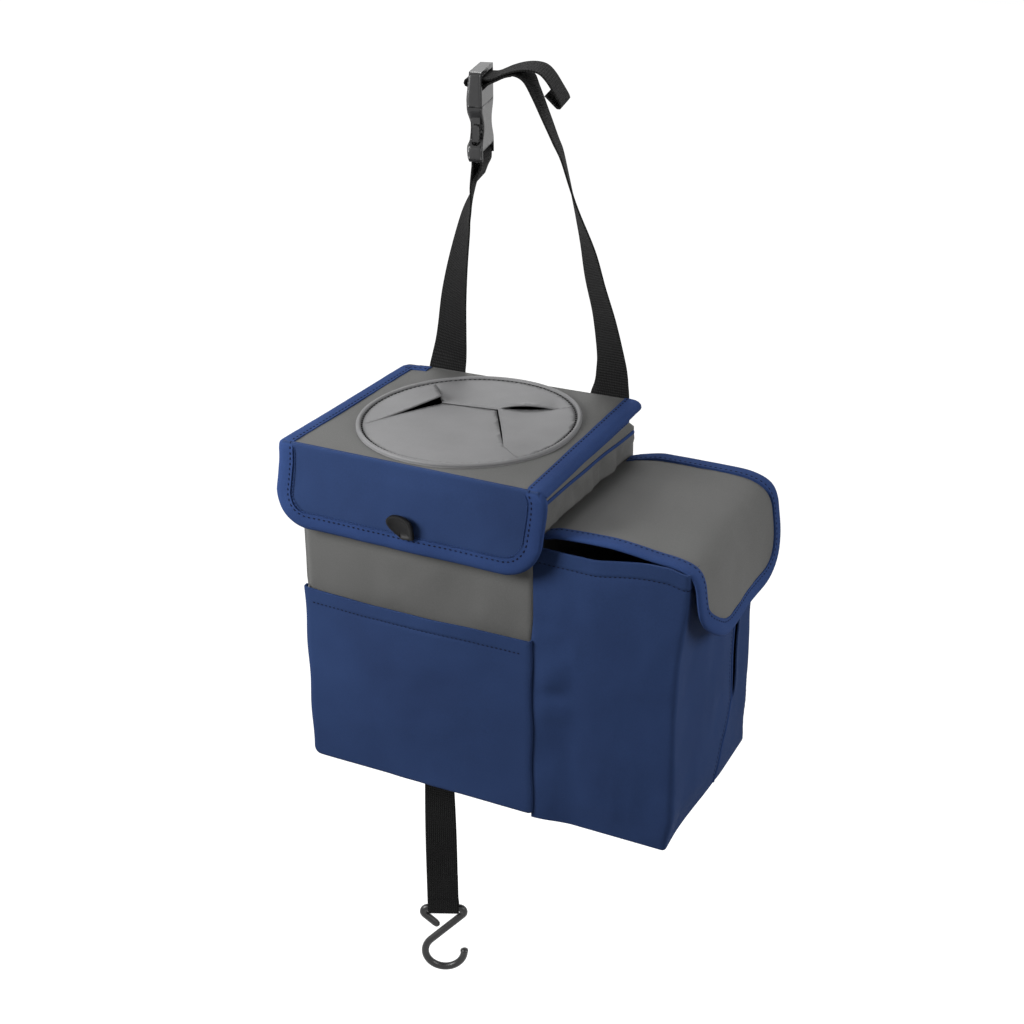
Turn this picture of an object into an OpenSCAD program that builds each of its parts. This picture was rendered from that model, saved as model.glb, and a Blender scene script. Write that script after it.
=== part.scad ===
// Car trash bin with a lidded main bin, a tissue pocket on its side, a headrest strap
// with a side-release buckle, and a lower strap with a swinging hook.
// Heights are counted from the floor of the main bin. The finished part has its origin at
// the centre of the flat back face: +X to the tissue pocket, -Y to the front, +Z up.

/* [Main bin] */
// Width of the main bin
bin_w = 190; // [170:1:215]
// Depth of the main bin, from its back face to its front face
bin_d = 164; // [150:1:190]
// Height of the main bin with its lid shut
bin_h = 266; // [245:1:300]
// Radius of the upright corners
bin_corner_r = 5; // [4:0.5:8]
// Thickness of the outer fabric
fabric_t = 1.2; // [0.8:0.1:1.6]
// Thickness of the stiffening boards in the walls
board_t = 1.6; // [1.6:0.1:2.2]
// Thickness of the leakproof liner
liner_t = 0.8; // [0.6:0.1:1.2]
// Height of the tape that binds the rim
rim_tape_h = 10; // [6:0.5:14]
// Thickness of every binding tape, on each side of what it wraps
tape_t = 0.5; // [0.3:0.1:0.8]

/* [Front pocket] */
// Height of the front pocket
pocket_h = 147; // [110:1:165]
// Room between the front pocket and the bin
pocket_room = 4.6; // [4.2:0.1:7]
// Thickness of the pocket fabric
pocket_t = 1.4; // [1:0.1:2]
// Height of the folded hem on both pockets
hem_h = 11; // [8:0.5:14]
// How far the folded hems stand proud
hem_t = 0.5; // [0.3:0.1:0.8]
// Corner radius at the foot of the front pocket
pocket_foot_r = 7; // [4:0.5:12]

/* [Tissue pocket] */
// Width of the tissue pocket, outward from the bin
side_w = 112; // [95:1:120]
// Depth of the tissue pocket
side_d = 139; // [130:1:140]
// Distance of the tissue pocket's back from the plane of the back face
side_inset = 24; // [18:1:24]
// Height of the tissue pocket's rim
side_h = 216; // [200:1:216]
// Radius of its two upright outer corners
side_corner_r = 12; // [8:0.5:18]
// Thickness of its padded fabric
side_t = 1.6; // [1.2:0.1:2.2]
// Width of the tissue slit
slit_w = 5; // [4.6:0.1:8]
// Distance of the tissue slit from the pocket's back
slit_from_back = 30; // [26:1:40]
// Height of the slit's lower end
slit_low = 68; // [60:1:80]
// Distance of the slit's upper end below the pocket's rim
slit_from_rim = 28; // [20:1:45]
// How far the seam below the slit sweeps to the front
seam_sweep = 23; // [15:1:30]
// How much higher the pocket's rim is at its outer side
side_rise = 4.5; // [2:0.5:5]

/* [Lid] */
// How far the lid's back corners stand out past the bin's sides
lid_over_back = 4.5; // [3:0.5:7]
// How far the lid's front corners stand out past the bin's sides
lid_over_front = 10.5; // [8:0.5:12]
// How far the lid reaches past the front face, to the outside of its flap
lid_reach = 9; // [8.6:0.1:11]
// Thickness of the fabric on top of the lid
lid_fabric_t = 1.2; // [1:0.1:1.5]
// Thickness of the lid's board
lid_board_t = 1.5; // [1.2:0.1:2]
// Thickness of the lining under the lid
lid_lining_t = 0.8; // [0.6:0.1:1]
// Thickness of the padded front flap
flap_t = 3.4; // [3:0.1:3.6]
// Drop of the front flap below the lid's top
flap_drop = 66.5; // [60:0.5:75]
// Radius of the front flap's lower corners
flap_corner_r = 27; // [20:1:32]
// Visible width of the blue binding round the lid
binding_w = 12; // [9:0.5:14]
// Gap between the shut lid and the bin's rim
lid_gap = 0.3; // [0.2:0.05:0.6]

/* [Membrane disc] */
// Margin between the membrane disc and the lid's front and back edges
disc_margin = 2; // [1.5:0.5:6]
// Thickness of the membrane
disc_t = 1.4; // [1:0.1:2]
// Thickness of the rolled rim of the disc
disc_rim_d = 4; // [3:0.1:5]
// Width of the slits between the petals
petal_gap = 1.2; // [0.8:0.1:2]
// Width of the membrane's sewn edge, round the hole under it
disc_flange = 8; // [6:0.5:12]
// Height of the left petal's lifted tip
petal_lift = 10; // [4:0.5:12]

/* [Tissue pocket flap] */
// How far the flap's front edge stops short of the pocket's front
side_flap_short = 3; // [2:0.5:8]
// Distance of the flap's back edge from the plane of the back face
side_flap_inset = 7; // [4:1:9]
// Thickness of the flap
side_flap_t = 2.2; // [1.8:0.1:2.6]
// Height of the flap's hinge line above the pocket's rim
side_flap_above = 8.5; // [8:0.5:12]
// How far the flap's free edge hangs below its hinge line
side_flap_fall = 66; // [50:1:75]
// Radius of the flap's free corners
side_flap_r = 34; // [24:1:40]

/* [Straps] */
// Width of the headrest strap
strap_w = 32; // [30:0.5:32.5]
// Thickness of all webbing
strap_t = 1.5; // [1.2:0.1:1.6]
// Length of the strap ends sewn inside the back wall
strap_tail = 30; // [20:1:45]
// Distance of the left strap's middle from the bin's left side
strap_left_in = 32; // [24:1:40]
// Distance of the right strap's middle from the bin's right side
strap_right_in = 21.5; // [21.5:0.5:30]
// Height of the buckle's foot above the lid
strap_rise = 175; // [160:1:220]
// Width of the lower strap
low_strap_w = 25; // [20:0.5:26]
// Distance of the lower strap from the back face
low_strap_y = 139; // [120:1:146]
// Length of the lower strap's end sewn flat under the bin
low_strap_sewn = 38; // [25:1:50]

/* [Buckle] */
// Thickness of the buckle's cheeks, beside the webbing
buckle_cheek = 3; // [2.6:0.1:4]
// Clearance of the webbing at each cheek
web_gap = 0.6; // [0.3:0.1:1]
// Thickness of the buckle
buckle_t = 12.5; // [11.5:0.5:14]
// Wall round the receptacle's cavity
buckle_wall = 2; // [1.8:0.1:2.4]
// Height of the receptacle, the lower half
female_h = 42; // [40:0.5:46]
// Height of the tongue half's head, above the parting
male_h = 26; // [25:0.5:30]
// Clearance between the two halves
buckle_gap = 0.3; // [0.2:0.05:0.5]
// Height of the webbing slots
web_slot_h = 4; // [3.6:0.1:4.4]
// Width of each flexible prong
prong_w = 4; // [3.4:0.1:4.4]
// Turn of the buckle away from the side plane
buckle_yaw = 14; // [5:1:22]

/* [Hook] */
// Diameter of the hook's rod
hook_d = 6; // [5:0.1:7]
// Clearance of the lower strap between the hook's two eyes
hook_gap = 1.0; // [0.6:0.1:2]
// Outer radius of the hook's bend
hook_bend_r = 19; // [16:0.5:22]
// Height of the hook's top bar, measured from the bin's floor
hook_z = -142; // [-170:1:-120]
// Turn of the hook's top bar out of the bin's width
hook_yaw = 25; // [0:1:35]

/* [Hidden] */
$fn = 48;
eps = 0.01;
navy = [0.17, 0.24, 0.42];
grey = [0.36, 0.37, 0.39];
pale_grey = [0.48, 0.49, 0.51];
black = [0.09, 0.09, 0.10];
lining_grey = [0.25, 0.26, 0.28];
board_white = [0.85, 0.85, 0.82];

// Lid stack, its hinge line and the rim under it
lid_t = lid_fabric_t + lid_board_t + lid_lining_t;
lid_low = bin_h - lid_t;
hinge_r = lid_t / 2;
hinge_z = bin_h - hinge_r;
strap_y = -fabric_t - board_t / 2;
hinge_y = -fabric_t - board_t - hinge_r - 0.5;
rim_top = lid_low - tape_t - lid_gap;
wall_top = rim_top - tape_t;
flap_out = -bin_d - lid_reach;
flap_in = flap_out + flap_t;
flap_low = bin_h - flap_drop;
lid_back_w = bin_w + 2 * lid_over_back;
lid_front_w = bin_w + 2 * lid_over_front;

// Membrane disc, centred between the hinge line and the fold of the lid
disc_y = (hinge_y + flap_out) / 2;
disc_r = (hinge_y - flap_out) / 2 - disc_margin;
mouth_r = disc_r - disc_flange;
slit_left = disc_r * [-0.43, 0.27];
slit_right = disc_r * [0.11, 0.33];
tip_front_left = disc_r * [-0.79, -0.43];
tip_back_left = disc_r * [-0.69, 0.61];
tip_back_right = disc_r * [0.71, 0.62];
tip_front_right = disc_r * [0.58, -0.4];

// Tissue pocket and its flap
wall_x = bin_w / 2;
side_x = wall_x + side_w;
side_front = -side_inset - side_d;
side_back = -side_inset;
slit_y = side_back - slit_from_back;
side_flap_d = side_d + side_inset - side_flap_inset - side_flap_short;
side_flap_z = side_h + side_flap_above;
slit_high = side_h - slit_from_rim;
bead_r = side_flap_t / 2 + 0.2;
flap_axis_x = wall_x + 0.3 + bead_r;

// Grip patches between the front flap and the bin
patch_gap = 0.3;
patch_room = -bin_d - flap_in;
loop_t = 2.4;
hook_patch_t = patch_room - loop_t - patch_gap;
patch_w = 70;
patch_h = 22;
patch_z = flap_low + binding_w + patch_h / 2 + 2;

// Buckle, measured from the foot of the receptacle
buckle_x = -27;
buckle_z = bin_h + strap_rise;
buckle_w = strap_w + 2 * web_gap + 2 * buckle_cheek;
parting = female_h + buckle_gap;
cavity_w = buckle_w - 2 * buckle_wall;
cavity_t = buckle_t - 2 * buckle_wall;
web_slot_w = strap_w + 2 * web_gap;
foot_bar_r = 2.2;
lock_bar_r = 1.5;
top_rib = 3.2;
slot_a = parting + male_h - top_rib - 2 * web_slot_h - 2 * lock_bar_r;
lock_bar_x = -buckle_t / 2 + 0.6;
lock_bar_z = slot_a + web_slot_h + lock_bar_r;
web_yaw = buckle_yaw - 90;
prong_root_z = parting - 3.4;
prong_root_y = cavity_w / 2 - prong_w / 2 - 0.8;
prong_len = 20;
window_low = 13;
window_high = 31;

// Hook, drawn flat about the middle of its top bar
hook_r = hook_d / 2;
bend_drop = 43.5;
hook_shift = hook_r + strap_t / 2 + 0.3;
hook_back = [-sin(hook_yaw), cos(hook_yaw), 0];
hook_centre = [0, -low_strap_y, hook_z] + hook_shift * hook_back;

strap_left_x = -wall_x + strap_left_in;
strap_right_x = wall_x - strap_right_in;

// Shared outlines

module rounded_rect(w, d, r) {
    square([w - 2 * r, d], center = true);
    square([w, d - 2 * r], center = true);
    for (x = [-1, 1], y = [-1, 1])
        translate([x * (w / 2 - r), y * (d / 2 - r)]) circle(r);
}

// Outline from y = 0 upward, rounded at its two lower corners
module foot_rounded(w, h, r) {
    translate([-w / 2, r]) square([w, h - r]);
    translate([-w / 2 + r, 0]) square([w - 2 * r, r]);
    for (x = [-1, 1]) translate([x * (w / 2 - r), r]) circle(r);
}

// Stands a flat outline up, facing the front, and thickens it toward the front
module stand(y, thick) {
    translate([0, y, 0]) rotate([90, 0, 0]) linear_extrude(thick) children();
}

// Takes an outline drawn in depth and height and thickens it along the width
module across(x, thick) {
    translate([x, 0, 0]) rotate([90, 0, 90]) linear_extrude(thick) children();
}

module bin_plan(inset) {
    r = max(bin_corner_r - inset, 0.5);
    translate([0, -bin_d / 2]) rounded_rect(bin_w - 2 * inset, bin_d - 2 * inset, r);
}

module bin_ring(inset, thick) {
    difference() {
        bin_plan(inset);
        bin_plan(inset + thick);
    }
}

// Curves and swept webbing

function unit(v) = v / norm(v);

function smooth(p, n) = concat([for (i = [0 : len(p) - 2], k = [0 : n - 1])
    let (t = k / n, a = p[max(i - 1, 0)], b = p[i], c = p[i + 1], d = p[min(i + 2, len(p) - 1)])
    0.5 * (2 * b + (c - a) * t + (2 * a - 5 * b + 4 * c - d) * t * t
           + (3 * b - a - 3 * c + d) * t * t * t)], [p[len(p) - 1]]);

function place(q) = [q[0], q[1], q[2]];

function heading(path, i) =
    unit(place(path[min(i + 1, len(path) - 1)]) - place(path[max(i - 1, 0)]));

// Corners of the webbing's section at one point of its route; the route's fourth number
// is the compass angle of the webbing's width
function web_section(path, i, w, t) =
    let (c = place(path[i]), h = heading(path, i), raw = [cos(path[i][3]), sin(path[i][3]), 0],
         side = unit(raw - (raw * h) * h), up = cross(h, side))
    [for (k = [[-1, -1], [1, -1], [1, 1], [-1, 1]])
        c + side * k[0] * w / 2 + up * k[1] * t / 2];

module swept(rings) {
    sides = len(rings[0]);
    last = len(rings) - 1;
    walls = [for (i = [0 : last - 1], j = [0 : sides - 1])
        let (k = (j + 1) % sides, a = i * sides, b = a + sides)
        each [[a + j, a + k, b + k], [a + j, b + k, b + j]]];
    start = [for (j = [0 : sides - 1]) sides - 1 - j];
    end = [for (j = [0 : sides - 1]) last * sides + j];
    polyhedron([for (r = rings) each r], concat(walls, [start, end]), convexity = 8);
}

module webbing(route, w, steps) {
    path = smooth(route, steps);
    swept([for (i = [0 : len(path) - 1]) web_section(path, i, w, strap_t)]);
}

// Main bin

module wall_height(from) {
    translate([0, 0, from]) linear_extrude(wall_top - from) children();
}

module front_panel() {
    color(grey) wall_height(fabric_t) intersection() {
        bin_ring(0, fabric_t);
        translate([-wall_x, -bin_d]) square([bin_w, bin_corner_r]);
    }
}

module back_panel() {
    color(grey) wall_height(fabric_t) intersection() {
        bin_ring(0, fabric_t);
        translate([-wall_x, -bin_corner_r]) square([bin_w, bin_corner_r]);
    }
}

module side_panel(side) {
    color(grey) wall_height(fabric_t)
        translate([side > 0 ? wall_x - fabric_t : -wall_x, -bin_d + bin_corner_r])
            square([fabric_t, bin_d - 2 * bin_corner_r]);
}

module left_panel() side_panel(-1);
module right_panel() side_panel(1);

module bottom_panel() {
    color(grey) linear_extrude(fabric_t) bin_plan(0);
}

module front_board() {
    color(board_white) wall_height(fabric_t + board_t)
        translate([-wall_x + bin_corner_r, -bin_d + fabric_t])
            square([bin_w - 2 * bin_corner_r, board_t]);
}

module back_board() {
    color(board_white) difference() {
        wall_height(fabric_t + board_t)
            translate([-wall_x + bin_corner_r, -fabric_t - board_t])
                square([bin_w - 2 * bin_corner_r, board_t]);
        strap_slots(wall_top - strap_tail);
    }
}

// Room in the back wall for the sewn ends of the headrest strap
module strap_slots(from) {
    room = strap_w + 0.4;
    for (x = [strap_left_x, strap_right_x])
        translate([x - room / 2, -fabric_t - board_t, from])
            cube([room, board_t, wall_top + 5 - from]);
}

module side_board(side) {
    color(board_white) wall_height(fabric_t + board_t)
        translate([side * (wall_x - fabric_t - board_t / 2) - board_t / 2,
                   -bin_d + bin_corner_r])
            square([board_t, bin_d - 2 * bin_corner_r]);
}

module left_board() side_board(-1);
module right_board() side_board(1);

module bottom_board() {
    color(board_white) translate([0, 0, fabric_t]) linear_extrude(board_t) bin_plan(fabric_t);
}

module inner_liner() {
    skin = fabric_t + board_t;
    color(lining_grey) difference() {
        wall_height(skin) bin_plan(skin);
        translate([0, 0, skin + liner_t]) linear_extrude(bin_h) bin_plan(skin + liner_t);
    }
}

module rim_tape() {
    stack = fabric_t + board_t + liner_t;
    color(navy) difference() {
        translate([0, 0, rim_top - rim_tape_h]) linear_extrude(rim_tape_h) intersection() {
            bin_ring(-tape_t, stack + 2 * tape_t);
            translate([-bin_w, -2 * bin_d]) square([2 * bin_w, 2 * bin_d]);
        }
        linear_extrude(wall_top) bin_ring(0, stack);
        strap_slots(wall_top - 1);
    }
}

module front_pocket() {
    depth = pocket_room + pocket_t;
    color(navy) difference() {
        union() {
            intersection() {
                stand(-bin_d, depth) foot_rounded(bin_w, pocket_h, pocket_foot_r);
                linear_extrude(pocket_h) translate([0, -bin_d - depth])
                    foot_rounded(bin_w, depth, 2);
            }
            translate([0, 0, pocket_h - hem_h]) stand(-bin_d - depth + eps, hem_t + eps)
                translate([-wall_x + 2, 0]) square([bin_w - 4, hem_h]);
        }
        translate([0, 0, pocket_t]) stand(-bin_d + eps, pocket_room + eps)
            foot_rounded(bin_w - 2 * pocket_t, pocket_h, pocket_foot_r - pocket_t);
    }
}

module patch(y, thick) {
    translate([0, 0, patch_z]) stand(y, thick) rounded_rect(patch_w, patch_h, 3);
}

module loop_patch() {
    color(black) patch(-bin_d, loop_t);
}

// Tissue pocket

// Plan of the pocket, reaching back over the bin's rounded front corner
module side_plan(inset) {
    r = max(side_corner_r - inset, 0.5);
    d = side_d - 2 * inset;
    reach = side_w + bin_corner_r - inset;
    difference() {
        translate([wall_x - bin_corner_r, side_front + inset]) union() {
            square([reach - r, d]);
            translate([0, r]) square([reach, d - 2 * r]);
            for (y = [r, d - r]) translate([reach - r, y]) circle(r);
        }
        bin_plan(-2 * eps);
    }
}

// Wall of the pocket, its rim rising outward
module side_wall() {
    difference() {
        linear_extrude(side_h + side_rise) difference() {
            side_plan(0);
            side_plan(side_t);
        }
        translate([wall_x, 0, side_h]) rotate([0, -atan(side_rise / side_w), 0])
            translate([-2 * bin_corner_r, -2 * bin_d, 0]) cube([2 * side_w, 2 * bin_d, 40]);
    }
}

function seam_y(z) =
    z < slit_low ? slit_y - seam_sweep * sin(90 * (slit_low - z) / slit_low) : slit_y;

taper = 0.1 * (slit_high - slit_low);
low_steps = 8;
seam_heights = concat([for (i = [0 : low_steps]) slit_low * i / low_steps],
    [slit_low + taper, slit_high - taper, slit_high, side_h + 2 * side_rise]);

function slit_half(z) =
    z > slit_low + eps && z < slit_high - eps ? slit_w / 2 : 0;

// The part of the wall on one side of the tissue slit and the seam below it
module wall_share(side) {
    far = side > 0 ? 0 : side_front - 10;
    edge = [for (z = seam_heights) [seam_y(z) + side * slit_half(z), z]];
    across(wall_x - 2 * bin_corner_r, 2 * side_w)
        polygon(concat(edge, [[far, side_h + 2 * side_rise], [far, 0]]));
}

module side_pocket_front() {
    color(navy) intersection() {
        side_wall();
        wall_share(-1);
    }
}

module side_pocket_rear() {
    color(navy) intersection() {
        side_wall();
        wall_share(1);
    }
}

module side_pocket_bottom() {
    color(navy) linear_extrude(side_t) side_plan(side_t);
}

// Buckle

module at_buckle() {
    translate([buckle_x, 0, buckle_z]) rotate([0, 0, buckle_yaw]) children();
}

// A place in the buckle's own frame, given in the bin's frame with the webbing's angle
function in_buckle(x, z) =
    [buckle_x + x * cos(buckle_yaw), x * sin(buckle_yaw), buckle_z + z, web_yaw];

// Rectangle whose corners are eased with short flats
module eased_rect(w, d, r) {
    polygon([for (corner = [0 : 3], step = [0 : 22.5 : 90])
        let (a = 90 * corner + step,
             x = (corner == 0 || corner == 3 ? 1 : -1) * (w / 2 - r),
             y = (corner < 2 ? 1 : -1) * (d / 2 - r))
        [x + r * cos(a), y + r * sin(a)]]);
}

// A block with a face outline in width and height and eased upright edges
module moulded_block(thick, w, edge_r) {
    intersection() {
        across(-thick / 2, thick) children();
        linear_extrude(2 * female_h + male_h) eased_rect(thick, w, edge_r);
    }
}

module waisted(w, h) {
    waist = 1.6;
    swing = 36;
    difference() {
        foot_rounded(w, h, 5);
        for (y = [-1, 1])
            translate([y * (w / 2 + swing - waist), (window_low + window_high) / 2])
                circle(swing, $fn = 96);
    }
}

module web_bar(x, z, r) {
    translate([x, 0, z]) rotate([90, 0, 0])
        cylinder(h = web_slot_w + 2 * eps, r = r, center = true);
}

module buckle_female() {
    floor_z = 2 * foot_bar_r + web_slot_h;
    window_w = cavity_t - 1;
    color(black) at_buckle() {
        difference() {
            moulded_block(buckle_t, buckle_w, 2.4) waisted(buckle_w, female_h);
            translate([-cavity_t / 2, -cavity_w / 2, floor_z + buckle_wall])
                cube([cavity_t, cavity_w, female_h]);
            translate([-buckle_t, -web_slot_w / 2, -1])
                cube([2 * buckle_t, web_slot_w, floor_z + 1]);
            translate([0, buckle_w, (window_low + window_high) / 2]) rotate([90, 0, 0])
                linear_extrude(2 * buckle_w)
                    rounded_rect(window_w, window_high - window_low, 3);
        }
        web_bar(0, foot_bar_r, foot_bar_r);
    }
}

module buckle_male() {
    plug_t = cavity_t - 2 * buckle_gap;
    plug_h = 7;
    root_room = prong_w / 2 + buckle_gap;
    color(black) at_buckle() {
        difference() {
            union() {
                moulded_block(buckle_t, buckle_w, 2.4)
                    translate([0, parting]) translate([0, male_h]) mirror([0, 1])
                        foot_rounded(buckle_w, male_h, 3);
                translate([-plug_t / 2, -cavity_w / 2 + buckle_gap, parting - plug_h])
                    cube([plug_t, cavity_w - 2 * buckle_gap, plug_h + eps]);
            }
            translate([-buckle_t, -web_slot_w / 2, slot_a])
                cube([2 * buckle_t, web_slot_w, 2 * web_slot_h + 2 * lock_bar_r]);
            for (y = [-1, 1]) across(-buckle_t, 2 * buckle_t) {
                translate([y * prong_root_y, prong_root_z]) circle(root_room);
                translate([y * prong_root_y - root_room, prong_root_z - plug_h])
                    square([2 * root_room, plug_h]);
                translate([y * (prong_root_y + cavity_w / 2) - cavity_w / 2,
                           prong_root_z - plug_h])
                    square([cavity_w, plug_h + root_room / 2]);
            }
        }
        across(-plug_t / 2, plug_t) translate([0, parting - plug_h - 14])
            translate([-3.5, 0]) square([7, 14 + plug_h]);
        web_bar(lock_bar_x, lock_bar_z, lock_bar_r);
    }
}

// One flexible prong with its thumb pad in the receptacle's side window
module prong(side) {
    prong_t = cavity_t - 4 * buckle_gap;
    pad_t = cavity_t - 2;
    pad_h = window_high - window_low - 4;
    pad_out = buckle_w / 2 - 1.2;
    color(black) at_buckle() {
        across(-prong_t / 2, prong_t) {
            translate([side * prong_root_y, prong_root_z]) circle(prong_w / 2);
            translate([side * prong_root_y - prong_w / 2 + 0.6, prong_root_z - prong_len - 3])
                square([prong_w - 1.2, prong_len + 3]);
        }
        intersection() {
            across(-pad_t / 2, pad_t)
                translate([side * (pad_out + prong_root_y - 1) / 2,
                           (window_low + window_high) / 2])
                    rounded_rect(pad_out - prong_root_y + 1, pad_h, 1.6);
            translate([0, buckle_w, (window_low + window_high) / 2]) rotate([90, 0, 0])
                linear_extrude(2 * buckle_w) rounded_rect(pad_t, pad_h, 2.6);
        }
    }
}

module buckle_prong_front() prong(-1);
module buckle_prong_rear() prong(1);

// Straps. Routes are lists of [x, y, height, compass angle of the width].

// A strap leg's point: how far it has gone across to the buckle and up to its foot
function on_leg(foot_x, over, up, y, yaw) =
    [foot_x + (buckle_x - foot_x) * over, y, bin_h + strap_rise * up, yaw];

// The end sewn inside the back wall, and the start of its lean over the back seam
function sewn_end(x) = concat(
    [for (z = [wall_top - strap_tail, wall_top - 10, wall_top, wall_top + 2])
        [x, strap_y, z, 0]],
    [[x, strap_y + 0.15, wall_top + 5, 0], [x, strap_y + 0.9, wall_top + 9, -1]]);

turn_r = foot_bar_r + 0.3 + strap_t / 2;
left_route = concat(
    sewn_end(strap_left_x),
    [on_leg(strap_left_x, 0.01, 0.07, 1.5, -6),
     on_leg(strap_left_x, 0.03, 0.12, 3, -12),
     on_leg(strap_left_x, 0.055, 0.194, 4, -18),
     on_leg(strap_left_x, 0.125, 0.349, 4, -26),
     on_leg(strap_left_x, 0.264, 0.52, 4, -37),
     on_leg(strap_left_x, 0.45, 0.691, 4, -49),
     on_leg(strap_left_x, 0.61, 0.811, 3, -61),
     on_leg(strap_left_x, 0.75, 0.903, 1.5, web_yaw + 4),
     in_buckle(-turn_r - 0.6, -4)],
    [for (a = [180 : -30 : 0])
        in_buckle(turn_r * cos(a), foot_bar_r + turn_r * sin(a))],
    [in_buckle(turn_r - 0.4, -4),
     in_buckle(-1.8, -12),
     in_buckle(-5.4, -20)]);

module strap_left() {
    color(black) webbing(left_route, strap_w, 3);
}

lock_turn_r = lock_bar_r + 0.3 + strap_t / 2;
right_route = concat(
    sewn_end(strap_right_x),
    [on_leg(strap_right_x, 0, 0.07, 1.5, -6),
     on_leg(strap_right_x, 0, 0.12, 3, -14),
     on_leg(strap_right_x, 0.006, 0.194, 4, -22),
     on_leg(strap_right_x, 0.04, 0.36, 4, -32),
     on_leg(strap_right_x, 0.104, 0.514, 4, -38),
     on_leg(strap_right_x, 0.174, 0.663, 4, -45),
     on_leg(strap_right_x, 0.3, 0.869, 3, -60),
     on_leg(strap_right_x, 0.365, 0.954, 2, -67),
     on_leg(strap_right_x, 0.473, 1.109, 1, -72),
     on_leg(strap_right_x, 0.557, 1.206, 0.5, web_yaw + 1),
     on_leg(strap_right_x, 0.662, 1.274, 0, web_yaw),
     in_buckle(22, 54.5),
     in_buckle(10, lock_bar_z - lock_turn_r - 0.4),
     in_buckle(2, lock_bar_z - lock_turn_r)],
    [for (a = [270 : -30 : 90])
        in_buckle(lock_bar_x + lock_turn_r * cos(a), lock_bar_z + lock_turn_r * sin(a))],
    [in_buckle(2, lock_bar_z + lock_turn_r),
     in_buckle(10, lock_bar_z + lock_turn_r + 0.8),
     in_buckle(26, 68),
     in_buckle(41, 69.5),
     in_buckle(50, 66.5),
     in_buckle(56, 60),
     in_buckle(60, 51),
     in_buckle(64.5, 43.5),
     in_buckle(63.5, 40.5),
     in_buckle(60.5, 42),
     in_buckle(56.5, 49)]);

module strap_right() {
    color(black) webbing(right_route, strap_w, 3);
}

// A place beside the lower strap's plane at the hook, toward the back by a given amount
function by_hook(back, z) = concat(
    place([0, -low_strap_y, 0] + back * hook_back + [0, 0, hook_z + z]), [hook_yaw]);

flat_z = -strap_t / 2 - 0.05;
low_route = concat(
    [[0, -low_strap_y + low_strap_sewn, flat_z, 0],
     [0, -low_strap_y + 12, flat_z, 0],
     [0, -low_strap_y + 8, flat_z, 0],
     [0, -low_strap_y + 4.5, flat_z - 0.05, 0],
     [0, -low_strap_y + 2, flat_z - 0.6, 0],
     [0, -low_strap_y + 0.6, flat_z - 2, 0],
     [0, -low_strap_y, flat_z - 6, 1],
     [0, -low_strap_y, 0.21 * hook_z, hook_yaw * 0.3],
     [0, -low_strap_y, 0.42 * hook_z, hook_yaw * 0.7],
     [0, -low_strap_y, 0.63 * hook_z, hook_yaw],
     by_hook(0, 26),
     by_hook(0, 6)],
    [for (a = [180 : 30 : 360])
        by_hook(hook_shift * (1 + cos(a)), hook_shift * sin(a))],
    [by_hook(2 * hook_shift - 1, 4),
     by_hook(strap_t + 1, 11),
     by_hook(strap_t + 0.2, 17),
     by_hook(strap_t + 0.2, 34)]);

module bottom_strap() {
    color(black) webbing(low_route, low_strap_w, 3);
}

// Hook: one rod bent into a top bar with two eyes, a slanting shank and an open bend

eye_r = hook_r + 0.8;
half_bar = low_strap_w / 2 + hook_gap + hook_r - eye_r;
bend_r = hook_bend_r - hook_r;
tip_r = hook_r - 0.5;
bar_clear = hook_r + tip_r + 0.3;
cross_z = -eye_r - eye_r * cos(45) - half_bar - eye_r * sin(45);

function arc_points(x, z, r, from, to, step) =
    [for (a = [from : step : to]) [x + r * cos(a), z + r * sin(a)]];

arm_end = [-bar_clear * cos(45), cross_z + bar_clear * sin(45)];
bend_end = [bend_r * cos(8), -bend_drop + bend_r * sin(8)];
rod_route = concat(
    [arm_end + tip_r * [0.9, -0.9] * cos(45), arm_end + tip_r * [0.5, -0.5] * cos(45),
     arm_end],
    arc_points(-half_bar, -eye_r, eye_r, 225, 90, -22.5),
    arc_points(half_bar, -eye_r, eye_r, 90, -45, -22.5),
    arc_points(0, -bend_drop, bend_r, 135, 368, 13.7),
    [bend_end + hook_r * [-0.07, 0.5], bend_end + hook_r * [-0.12, 0.9]]);
rod_radii = concat([tip_r * 0.45, tip_r * 0.87, tip_r],
    [for (i = [0 : len(rod_route) - 6]) hook_r], [hook_r * 0.87, hook_r * 0.45]);

function flat_heading(i) = unit(rod_route[min(i + 1, len(rod_route) - 1)]
                                - rod_route[max(i - 1, 0)]);

module hook() {
    sides = 12;
    rings = [for (i = [0 : len(rod_route) - 1])
        let (c = rod_route[i], h = flat_heading(i), r = rod_radii[i])
        [for (j = [0 : sides - 1]) let (a = 360 * j / sides)
            [c[0] - r * cos(a) * h[1], r * sin(a), c[1] + r * cos(a) * h[0]]]];
    color(black) translate(hook_centre) rotate([0, 0, hook_yaw]) swept(rings);
}

// Lid

module lid_plan(inset, back) {
    slope = (lid_front_w - lid_back_w) / 2 / (hinge_y - flap_out);
    back_half = lid_back_w / 2 - inset + slope * (hinge_y - back);
    front_half = lid_front_w / 2 - inset;
    polygon([[-back_half, back], [back_half, back],
             [front_half, flap_out], [-front_half, flap_out]]);
}

module lid_layer(from, thick, back) {
    translate([0, 0, from]) linear_extrude(thick) difference() {
        lid_plan(tape_t, back);
        translate([0, disc_y]) circle(mouth_r, $fn = 96);
    }
}

module hinge_bead() {
    translate([0, hinge_y, hinge_z]) rotate([0, 90, 0])
        cylinder(h = lid_back_w - 4 * tape_t, r = hinge_r, center = true);
}

module lid_top() {
    color(grey) {
        lid_layer(bin_h - lid_fabric_t, lid_fabric_t, hinge_y);
        hinge_bead();
    }
}

module lid_board() {
    color(board_white)
        lid_layer(lid_low + lid_lining_t, lid_board_t, hinge_y - hinge_r);
}

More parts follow.
